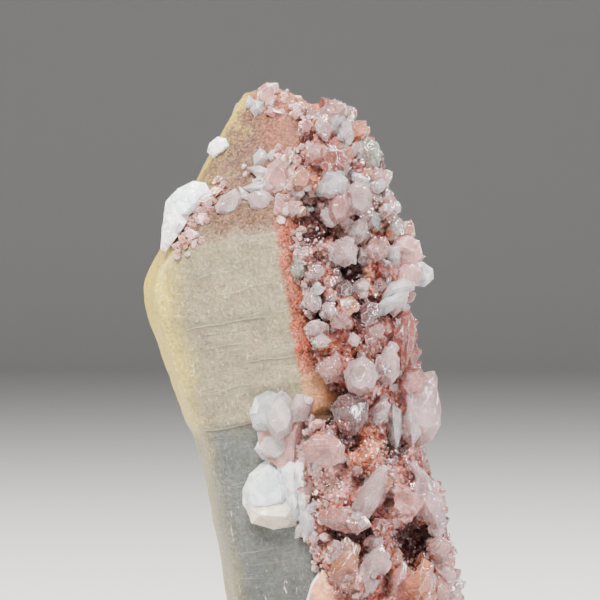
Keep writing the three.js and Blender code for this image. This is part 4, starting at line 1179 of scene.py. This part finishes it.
def surface_spots(mesh, count, random, weight=None):
    """Places and normals in mm at random over a mesh, more where weight is larger."""
    mesh.calc_loop_triangles()
    triangles = mesh_points(mesh)[read_values(mesh.loop_triangles, "vertices", 3, np.int32)] / MM
    crossed = np.cross(triangles[:, 1] - triangles[:, 0], triangles[:, 2] - triangles[:, 0])
    area = np.linalg.norm(crossed, axis=1)
    normals = crossed / np.maximum(area, 1e-12)[:, None]
    centres = triangles.mean(axis=1)
    chance = area if weight is None else area * weight(centres, normals)
    picked = random.choice(len(area), count, p=chance / chance.sum())
    a, b = random.random((2, count))
    over = a + b > 1
    a[over], b[over] = 1 - a[over], 1 - b[over]
    first, second, third = triangles[picked].transpose(1, 0, 2)
    return first + (second - first) * a[:, None] + (third - first) * b[:, None], normals[picked]


def outer_side(places, normals):
    """1 on the crust's outside and 0 on the side that lies on the main crystal."""
    inner = own_places(places * MM)
    inward = normals @ np.array(UPRIGHT).T
    outward = (inner[:, :2] * inward[:, :2]).sum(axis=1) / np.hypot(inner[:, 0], inner[:, 1])
    return ((outward > -0.25) | (inward[:, 2] > 0.4)) * (places[:, 2] > 0.8)


MEDIUM_CRYSTALS = 1300
MEDIUM_RADIUS = 0.32  # mm, of the smallest
MEDIUM_SPREAD = 0.95  # mm, that the largest have more
WHITE_SHARE = 0.13
SMALL_DUST = 0.6


def medium_weight(places, normals):
    """How thickly the small crystals grow at places in mm: less in patches of another colour."""
    pale = 0.45 + smooth_step(noise(places, 0.25, 71), -0.2, 0.4)
    upper = 0.6 + 1.2 * smooth_step(places[:, 2], 56, 66)
    open_ground = np.ones(len(places))
    for x, z, radius, colour in CRUST_PATCHES:
        away = np.hypot(places[:, 0] - x, places[:, 2] - z) / radius
        least = 0.1 if colour == CRUST_HOLLOW_SHADE else 0.4
        open_ground *= least + (1 - least) * smooth_step(away, 0.6, 1.1)
    return outer_side(places, normals) * pale * upper * open_ground


def add_small(heap, form, middle, direction, size, tints, tallest):
    """Adds a small crystal in one of the tints, its height at random up to tallest."""
    tint = tints[int(flank_random.integers(len(tints)))]
    tall = size * flank_random.uniform(0.8, tallest)
    spin = flank_random.uniform(0, 6)
    heap.add(form, middle, direction, spin, (size, size * 0.9, tall), tint, SMALL_DUST)


spots, spot_normals = surface_spots(crust_mesh, MEDIUM_CRYSTALS, flank_random, medium_weight)
medium_tints = [CLEAR, PINK, ROSE, PINK, ROSE, ORANGE, SMOKY]
white_tints = [WHITE, BLUISH, CLEAR]
small_heaps = {  # name: (heap, material)
    "small_clear_crystals": (Heap(), clear_material),
    "small_white_crystals": (Heap(), hazy_material),
    "druse_crystals": (Heap(), druse_material),
}
for spot, normal in zip(spots, spot_normals):
    size = MEDIUM_RADIUS + MEDIUM_SPREAD * flank_random.random() ** 1.8
    tilt = Vector(flank_random.normal(0, 0.45, 3))
    direction = (Vector(normal) + tilt + Vector((0, -0.1, 0.35))).normalized()
    form = crystal_forms[int(flank_random.integers(CRYSTAL_FORMS))]
    middle = spot - np.array(direction) * size * 0.1
    white = flank_random.random() < WHITE_SHARE
    heap = small_heaps["small_white_crystals" if white else "small_clear_crystals"][0]
    add_small(heap, form, middle, direction, size, white_tints if white else medium_tints, 1.3)

# Bands of small crystals on bare ground: (line seen from the front, width, count, radii, tints)
DRUSE_BANDS = (
    ([(-18.8, 76.4), (-22.0, 73.8), (-23.4, 70.4), (-25.8, 66.8)], 1.3, 110, (0.3, 0.75),
     (ORANGE, ROSE, PINK, ROSE)),
    ([(-10.0, 80.6), (-8.8, 76.6), (-9.2, 72.2)], 2.2, 90, (0.35, 0.9),
     (ORANGE, PINK, ROSE, PINK, CLEAR)),
    ([(-8.3, 69.5), (-6.7, 59.1), (-4.4, 49.5)], 0.8, 130, (0.22, 0.55), (ROSE, ROSE, SMOKY, PINK)),
    ([(-9.6, 89.6), (-6.8, 86.4), (-7.0, 81.6)], 1.8, 70, (0.25, 0.7), (PINK, ORANGE, ROSE, PINK)),
    ([(-12.6, 41.0), (-9.6, 38.0), (-8.8, 34.6)], 2.6, 90, (0.35, 0.9), (PINK, ROSE, CLEAR, ORANGE)),
    ([(-7.0, 44.0), (-6.4, 36.0), (-6.2, 26.0), (-4.4, 21.0)], 1.8, 130, (0.3, 0.85),
     (PINK, ROSE, CLEAR, ROSE)),
    ([(-15.6, 78.4), (-13.8, 76.6), (-12.4, 74.6)], 1.2, 30, (0.3, 0.6), (PALE, CLEAR, WHITE)),
)
druse_heap = small_heaps["druse_crystals"][0]
for line, width, count, radii, tints in DRUSE_BANDS:
    line = np.array(line)
    lengths = np.linalg.norm(np.diff(line, axis=0), axis=1)
    for _ in range(count):
        part = int(flank_random.choice(len(lengths), p=lengths / lengths.sum()))
        x, z = line[part] + (line[part + 1] - line[part]) * flank_random.random()
        x, z = np.array((x, z)) + flank_random.normal(0, width / 2, 2)
        if ground_seen(x, z) is None:
            continue  # nothing there to grow on
        size = flank_random.uniform(*radii)
        direction = pointed(flank_random.uniform(-70, 70), flank_random.uniform(15, 65))
        form = crystal_forms[int(flank_random.integers(CRYSTAL_FORMS))]
        middle = np.array((x, ground_depth(x, z) - 0.2 * size, z))
        add_small(druse_heap, form, middle, direction, size, tints, 1.4)

for heap_name, (heap, material) in small_heaps.items():
    small_crystals = added_object(heap_name, heap.mesh(heap_name), material)
    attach(small_crystals, "root")

# Grains of the crust
# Thousands of tiny crystals, most of them well under a millimetre, that make the crust
# glitter. They share the crust's colours, from maroon to pale pink.
GRAINS = 13000
GRAIN_FORMS = 6
GRAIN_RADIUS = 0.14  # mm, of the smallest
GRAIN_SPREAD = 0.26  # mm, that the largest have more
GRAIN_RIM = 0.3  # how pale the grains' edges are, partly a painted highlight
grain_random = np.random.default_rng(33)


def grain_form(random):
    """A tiny crystal with two points, as points, triangles and how pale each point is."""
    corner = np.arange(CRYSTAL_SIDES)
    turns = corner * math.tau / CRYSTAL_SIDES
    girdle = random.uniform(0.75, 1.1, CRYSTAL_SIDES)
    height = random.uniform(-0.2, 0.2, CRYSTAL_SIDES)
    ring = np.column_stack([np.cos(turns) * girdle, np.sin(turns) * girdle, height])
    points = np.vstack([ring, (0, 0, 1.1), (0, 0, -1.0)])
    after = np.roll(corner, -1)
    upper = np.column_stack([corner, after, np.full(CRYSTAL_SIDES, CRYSTAL_SIDES)])
    lower = np.column_stack([after, corner, np.full(CRYSTAL_SIDES, CRYSTAL_SIDES + 1)])
    return points, np.vstack([upper, lower]), np.full(len(points), GRAIN_RIM)


grain_forms = [grain_form(grain_random) for _ in range(GRAIN_FORMS)]
grain_heap = Heap()
spots, spot_normals = surface_spots(crust_mesh, GRAINS, grain_random, outer_side)
grain_tints = crust_colours(spots, np.zeros(len(spots))) * grain_random.uniform(0.7, 1.7, (GRAINS, 1))
grain_tints += 0.25 * grain_random.random((GRAINS, 1)) ** 6
for spot, normal, tint in zip(spots, spot_normals, np.clip(grain_tints, 0, 0.9)):
    size = GRAIN_RADIUS + GRAIN_SPREAD * grain_random.random() ** 2
    direction = (Vector(normal) + Vector(grain_random.normal(0, 0.5, 3))).normalized()
    form = grain_forms[int(grain_random.integers(GRAIN_FORMS))]
    tall = size * grain_random.uniform(0.7, 1.1)
    grain_heap.add(form, spot, direction, grain_random.uniform(0, 6), (size, size, tall), tint, 0.0)


def dusted_weight(places, normals):
    """Where red grains cling to the main crystal: the strip and the right of the tip."""
    inner = own_places(places * MM)
    on_strip = strip_cover(inner, LEDGE_HEIGHT + 4, 73)
    upward = smooth_step((normals @ np.array(UPRIGHT).T)[:, 2], 0.3, 0.55)
    drift = inner[:, 0] + 1.6 * noise(places, 0.4, 48)
    on_top = upward * (0.10 + 0.9 * smooth_step(drift, -2.0, 6.0)) * (normals[:, 1] < 0.3)
    return on_strip + 0.6 * on_top + 0.003


DUSTING = 2200
DUST_RADIUS = 0.05  # mm, of the smallest grain of dust
DUST_SPREAD = 0.07  # mm, that the largest have more
spots, spot_normals = surface_spots(scepter_mesh, DUSTING, grain_random, dusted_weight)
for spot, normal in zip(spots, spot_normals):
    size = DUST_RADIUS + DUST_SPREAD * grain_random.random() ** 2
    direction = (Vector(normal) + Vector(grain_random.normal(0, 0.5, 3))).normalized()
    tint = np.array(STRIP_COLOUR) * grain_random.uniform(0.5, 1.6) + grain_random.random() ** 16 * 0.3
    form = grain_forms[int(grain_random.integers(GRAIN_FORMS))]
    grain_heap.add(form, spot, direction, grain_random.uniform(0, 6), (size, size, size), tint, 0.0)

grain_material = crystal_material("crust_grains", 0.1, 0.2, 0.3, 0.0, (1.0, 1.0, 1.0))
grains = added_object("crust_grains", grain_heap.mesh("crust_grains"), grain_material)
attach(grains, "root")

# Perched clusters
# Pale crystals that sit on the main crystal in groups of their own. Each group grew from one
# root, so its crystals run into one another.
PERCHED = {  # name: (material, slot, blocks, single crystals)
    "tip_crystals": (frosted_material, "pale_quartz", [
        (WHITE, 0.0, -25, 2.2, [(-17.9, 87.3), (-17.3, 88.8), (-15.6, 89.1), (-14.9, 87.9), (-15.2, 86.4),
         (-16.7, 85.8), (-17.7, 86.4)], 0.9),
        (WHITE, 0.1, 20, 2.0, [(-15.2, 87.6), (-14.4, 89.1), (-13.2, 88.8), (-13.1, 87.0), (-14.3, 86.3)],
         [(-14.1, 87.8, 1.2)]),
        (PINK, 0.1, 22, 2.2, [(-14.3, 89.1), (-14.0, 90.9), (-12.8, 91.7), (-11.0, 91.7), (-10.8, 90.3),
         (-11.9, 88.5), (-13.4, 88.2)], 0.9),
        (PINK, 0.3, 72, 1.6, [(-13.1, 87.2), (-11.9, 87.9), (-10.1, 87.6), (-9.8, 86.9), (-11.6, 86.3)],
         [(-11.4, 87.2, 0.8)]),
    ], [
        (-15.2, 88.6, 3.0, 0.9, -10, 30, WHITE, 0.0), (-12.2, 88.6, 3.4, 0.9, 40, 20, PINK, 0.1),
    ]),
    "bead_crystal": (sugar_material, "white_quartz", [
        (WHITE, 0.0, 45, 2.2, [(-21.6, 81.3), (-21.3, 82.7), (-20.1, 83.6), (-18.8, 83.3), (-18.3, 82.2),
         (-19.1, 81.0), (-20.6, 80.4)], 0.9),
    ], []),
    "shoulder_crystals": (sugar_material, "white_quartz", [
        (BLUISH, 0.0, 40, 3.6, [(-28.0, 71.6), (-27.6, 73.9), (-25.9, 75.8), (-23.6, 76.9), (-21.8, 76.6),
         (-21.1, 75.4), (-22.6, 73.4), (-24.5, 71.4), (-26.6, 70.6)], 0.9, (-22.4, 74.2)),
        (PALE, 0.1, 12, 3.0, [(-28.4, 66.8), (-28.2, 69.6), (-27.8, 71.8), (-25.6, 72.2), (-24.4, 70.9),
         (-25.8, 68.9), (-27.6, 66.4)], [(-26.7, 70.4, 0.8), (-27.6, 67.8, 0.5)], (-24.6, 69.6)),
    ], [
        (-23.8, 69.0, 2.2, 0.9, -30, 45, PINK, 0.9), (-22.2, 71.4, 2.4, 0.9, 20, 50, PINK, 0.9),
        (-20.6, 75.0, 3.6, 0.8, 64, 25, ORANGE, 0.9), (-22.0, 73.9, 2.4, 0.8, 60, 30, ORANGE, 0.9),
    ]),
    "ridge_crystals": (frosted_material, "pale_quartz", [
        (CLEAR, 0.0, 50, 2.2, [(-20.3, 73.2), (-19.4, 74.7), (-17.3, 75.8), (-16.2, 74.7), (-16.2, 73.5),
         (-17.0, 72.3), (-18.5, 71.7), (-20.0, 72.2)], 0.8),
        (CLEAR, 0.0, 10, 2.4, [(-15.8, 74.7), (-14.3, 75.5), (-12.5, 75.3), (-11.3, 74.1), (-11.9, 72.8),
         (-13.4, 72.2), (-14.9, 72.9)], 0.8),
        (WHITE, 0.0, -18, 2.0, [(-14.6, 79.2), (-14.7, 80.7), (-13.7, 81.9), (-12.8, 81.3), (-12.2, 80.1),
         (-13.1, 78.9)], [(-13.5, 80.4, 1.1)]),
        (WHITE, 0.0, -76, 2.0, [(-15.6, 78.9), (-13.7, 79.2), (-12.2, 78.6), (-11.9, 77.4),
         (-13.4, 76.8)], [(-13.4, 78.2, 1.1)]),
        (PINK, 0.0, 6, 2.6, [(-13.2, 77.1), (-12.5, 79.2), (-11.0, 80.4), (-9.5, 79.2), (-9.0, 76.8),
         (-9.8, 74.7), (-11.6, 74.0), (-12.9, 75.0)], 1.2),
        (WHITE, 0.0, 78, 1.8, [(-16.2, 75.9), (-14.6, 76.7), (-12.5, 76.2), (-12.5, 75.5), (-14.9, 75.2)],
         [(-14.3, 75.9, 0.9)]),
    ], [
        (-15.9, 74.9, 3.2, 0.7, 145, 15, WHITE, 0.0), (-9.6, 80.0, 3.4, 1.3, 30, 25, ORANGE, 0.4),
        (-10.6, 73.5, 3.6, 1.3, -30, 40, PINK, 0.3), (-9.2, 72.7, 3.0, 1.1, 20, 45, PINK, 0.3),
        (-11.8, 80.6, 2.6, 0.8, 10, 30, WHITE, 0.1), (-12.0, 76.0, 3.0, 1.0, -40, 35, CLEAR, 0.0),
    ]),
    "knee_crystals": (frosted_material, "pale_quartz", [
        (BLUISH, 0.0, 14, 2.8, [(-15.1, 42.6), (-14.4, 44.9), (-12.5, 46.0), (-10.7, 45.4), (-10.1, 43.5),
         (-11.0, 41.4), (-12.8, 39.9), (-14.6, 40.4)], 1.4),
        (PALE, 0.1, 8, 3.0, [(-12.5, 44.4), (-10.4, 46.1), (-8.8, 44.9), (-8.0, 42.3), (-8.9, 39.6),
         (-11.3, 38.5), (-12.8, 40.5), (-13.2, 42.6)], 2.2),
        (PALE, 0.2, -58, 2.8, [(-14.5, 37.2), (-13.4, 39.5), (-11.4, 40.3), (-9.2, 39.4), (-8.7, 36.9),
         (-11.0, 35.2), (-13.3, 35.7)], 1.6),
        (PINK, 0.3, 24, 2.6, [(-9.8, 36.0), (-10.3, 38.3), (-8.5, 42.8), (-7.0, 44.2), (-6.5, 42.3),
         (-7.6, 38.5), (-8.7, 35.6)], [(-8.3, 40.4, 1.6)]),
        (PINK, 0.5, 10, 3.4, [(-13.6, 36.6), (-14.0, 40.0), (-12.4, 44.8), (-9.0, 45.8), (-6.6, 43.4),
         (-6.3, 38.6), (-8.0, 35.2), (-11.0, 34.6)], [(-10.0, 40.0, 0.6)]),
        (CLEAR, 0.2, 34, 2.4, [(-9.6, 43.2), (-8.2, 45.6), (-6.6, 45.4), (-5.9, 43.6), (-7.0, 41.6),
         (-8.8, 41.4)], [(-7.9, 43.8, 1.6)]),
    ], [
        (-9.4, 38.0, 6.0, 0.7, 20, 20, PALE, 0.3), (-8.0, 38.6, 6.4, 0.6, 22, 18, PINK, 0.3),
        (-12.4, 37.2, 3.6, 1.1, -50, 30, WHITE, 0.2),
    ]),
    "white_block": (milky_material, "white_quartz", [
        (BLUISH, 0.0, -6, 4.0, [(-13.6, 34.9), (-12.2, 35.8), (-10.2, 34.6), (-9.0, 31.5), (-9.2, 28.6),
         (-12.4, 27.4), (-15.4, 27.6), (-16.2, 28.9), (-16.2, 31.2), (-15.2, 33.4)], 2.4),
        # the underside is painted cream: partly its own tint, partly painted shade
        (SHADED_CREAM, 0.0, 84, 4.0, [(-16.0, 29.2), (-12.4, 30.6), (-8.4, 29.8), (-7.7, 28.0), (-8.0, 25.9),
         (-11.6, 25.2), (-14.9, 26.2)], [(-13.6, 27.6, 2.6), (-9.8, 27.4, 2.8)]),
        (WHITE, 0.1, -4, 3.0, [(-10.6, 34.4), (-9.2, 36.4), (-8.0, 35.2), (-7.2, 30.6), (-7.5, 27.0),
         (-8.7, 26.2), (-9.6, 29.0)], [(-8.8, 33.4, 2.4), (-8.4, 28.8, 2.6)]),
        (PALE, 0.2, 2, 3.0, [(-8.6, 34.8), (-7.4, 36.6), (-6.6, 35.0), (-6.0, 31.0), (-6.4, 27.4),
         (-7.6, 27.0)], [(-7.3, 33.0, 1.6), (-7.0, 29.4, 1.6)]),
    ], [
        (-10.2, 35.2, 3.6, 1.1, 20, 25, WHITE, 0.1), (-8.6, 33.8, 5.4, 0.7, -4, 12, WHITE, 0.1),
    ]),
    "foot_crystals": (frosted_material, "pale_quartz", [
        (WHITE, 0.1, 14, 2.6, [(-8.0, 27.3), (-7.1, 28.8), (-5.6, 28.8), (-4.7, 27.0), (-5.6, 24.6),
         (-7.1, 23.7)], [(-6.5, 27.0, 1.6)]),
    ], [
        (-7.6, 25.2, 3.2, 1.0, 40, 25, CLEAR, 0.1),
    ]),
    "base_blade": (milky_material, "pale_quartz", [
        (ORANGE, 0.3, 9, 3.4, [(-6.8, 14.1), (-5.9, 17.1), (-4.4, 19.5), (-2.6, 18.9), (-1.1, 15.6),
         (-0.5, 12.3), (-2.0, 8.1), (-5.3, 8.1)], [(-3.8, 15.6, 2.0), (-3.5, 10.3, 2.0)]),
        (WHITE, 0.0, 12, 2.6, [(-7.0, 14.0), (-6.1, 17.2), (-4.7, 19.4), (-4.4, 17.0), (-5.2, 12.0),
         (-6.0, 9.4), (-7.0, 10.2)], [(-5.9, 15.0, 1.9)]),
    ], []),
    "outrigger_blocks": (clear_material, "pink_quartz", [
        (CLEAR, 0.1, 4, 4.4, [(6.7, 48.3), (8.8, 48.9), (10.9, 48.3), (12.4, 46.5), (13.3, 43.8),
         (13.3, 40.5), (12.1, 38.1), (10.0, 37.2), (7.9, 38.1), (7.0, 41.1), (6.7, 44.7)],
         [(9.4, 46.5, 1.8), (11.8, 44.7, 1.2), (10.9, 40.2, 2.2), (8.5, 41.1, 2.6), (8.2, 45.0, 2.6)]),
        (PINK, 0.1, 20, 3.4, [(6.7, 46.4), (7.9, 49.0), (10.3, 49.2), (11.5, 47.2), (10.3, 45.2),
         (7.9, 44.6)], 2.4),
        (PALE, 0.0, 0, 3.4, [(9.7, 45.6), (11.5, 47.2), (13.0, 45.7), (13.5, 42.4), (12.7, 39.4),
         (10.6, 38.8), (9.4, 41.8)], 2.4),
        (PALE, 0.2, -8, 3.0, [(7.0, 41.4), (8.2, 43.6), (10.0, 42.4), (10.6, 39.4), (9.1, 37.4),
         (7.6, 38.4)], [(8.8, 41.2, 3.2), (8.8, 39.4, 3.0)]),
        (WHITE, 0.1, 4, 3.0, [(4.9, 42.6), (6.1, 43.8), (7.3, 42.9), (7.6, 39.6), (6.7, 37.2),
         (5.2, 38.1)], [(6.1, 42.0, 1.8), (6.4, 38.7, 1.8)]),
    ], [
        (8.6, 47.4, 4.0, 1.5, 50, 20, WHITE, 0.0), (11.6, 46.4, 4.4, 1.5, 30, 10, CLEAR, 0.0),
        (11.6, 40.6, 4.6, 1.4, -10, 12, CLEAR, 0.0), (7.6, 45.8, 3.4, 1.2, -20, 30, PINK, 0.3),
    ]),
    "long_pointers": (frosted_material, "pale_quartz", [
        (PINK, 0.1, 82, 3.0, [(5.4, 63.9), (7.3, 65.2), (9.7, 65.0), (10.4, 63.4), (9.7, 61.4),
         (7.3, 60.8), (5.6, 61.8)], [(8.2, 64.2, 1.8), (7.3, 62.0, 1.8)]),
        (WHITE, 0.0, 84, 2.8, [(8.8, 64.8), (10.6, 64.9), (12.1, 63.9), (12.2, 62.4), (10.9, 61.2),
         (9.1, 61.2)], [(10.6, 63.9, 1.5), (11.2, 62.4, 1.2)]),
        (PALE, 0.1, 64, 3.0, [(3.4, 59.6), (5.2, 61.8), (7.6, 62.6), (9.4, 61.8), (9.2, 60.8),
         (6.7, 59.6), (4.3, 58.4)], [(5.8, 60.9, 2.2), (8.2, 61.5, 1.4)]),
        (WHITE, 0.1, 56, 2.8, [(3.0, 58.2), (4.6, 60.0), (7.6, 61.2), (8.8, 60.9), (7.4, 59.0),
         (4.9, 57.0), (3.7, 56.8)], [(5.2, 59.1, 2.4)]),
        (CLEAR, 0.1, 48, 2.4, [(5.0, 58.0), (6.4, 60.0), (8.4, 60.3), (7.9, 58.2), (6.2, 56.6)],
         [(6.8, 58.8, 1.6)]),
        (PINK, 0.1, 55, 2.8, [(5.5, 66.3), (6.4, 68.3), (8.2, 68.9), (10.0, 68.0), (10.5, 66.0),
         (9.4, 64.8), (7.3, 64.5), (5.8, 65.1)], [(7.6, 67.2, 1.8), (9.1, 66.6, 1.4)]),
    ], [
        (9.0, 65.0, 4.6, 1.1, 70, 10, PINK, 0.1), (6.6, 59.2, 4.4, 1.2, 60, 15, CLEAR, 0.1),
    ]),
}
PERCHED_SEAT = 0.65  # radii that a crystal's middle stands in front of what carries it
perched_random = np.random.default_rng(5)
for node_name, (material, slot_name, blocks, rows) in PERCHED.items():
    heap = Heap()
    place_blocks(heap, blocks)
    place_crystals(heap, rows, PERCHED_SEAT, perched_random, followers=2)
    cluster = grown_together(heap, f"{node_name}_grown", material)
    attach(cluster, "root")
    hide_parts(node_name)
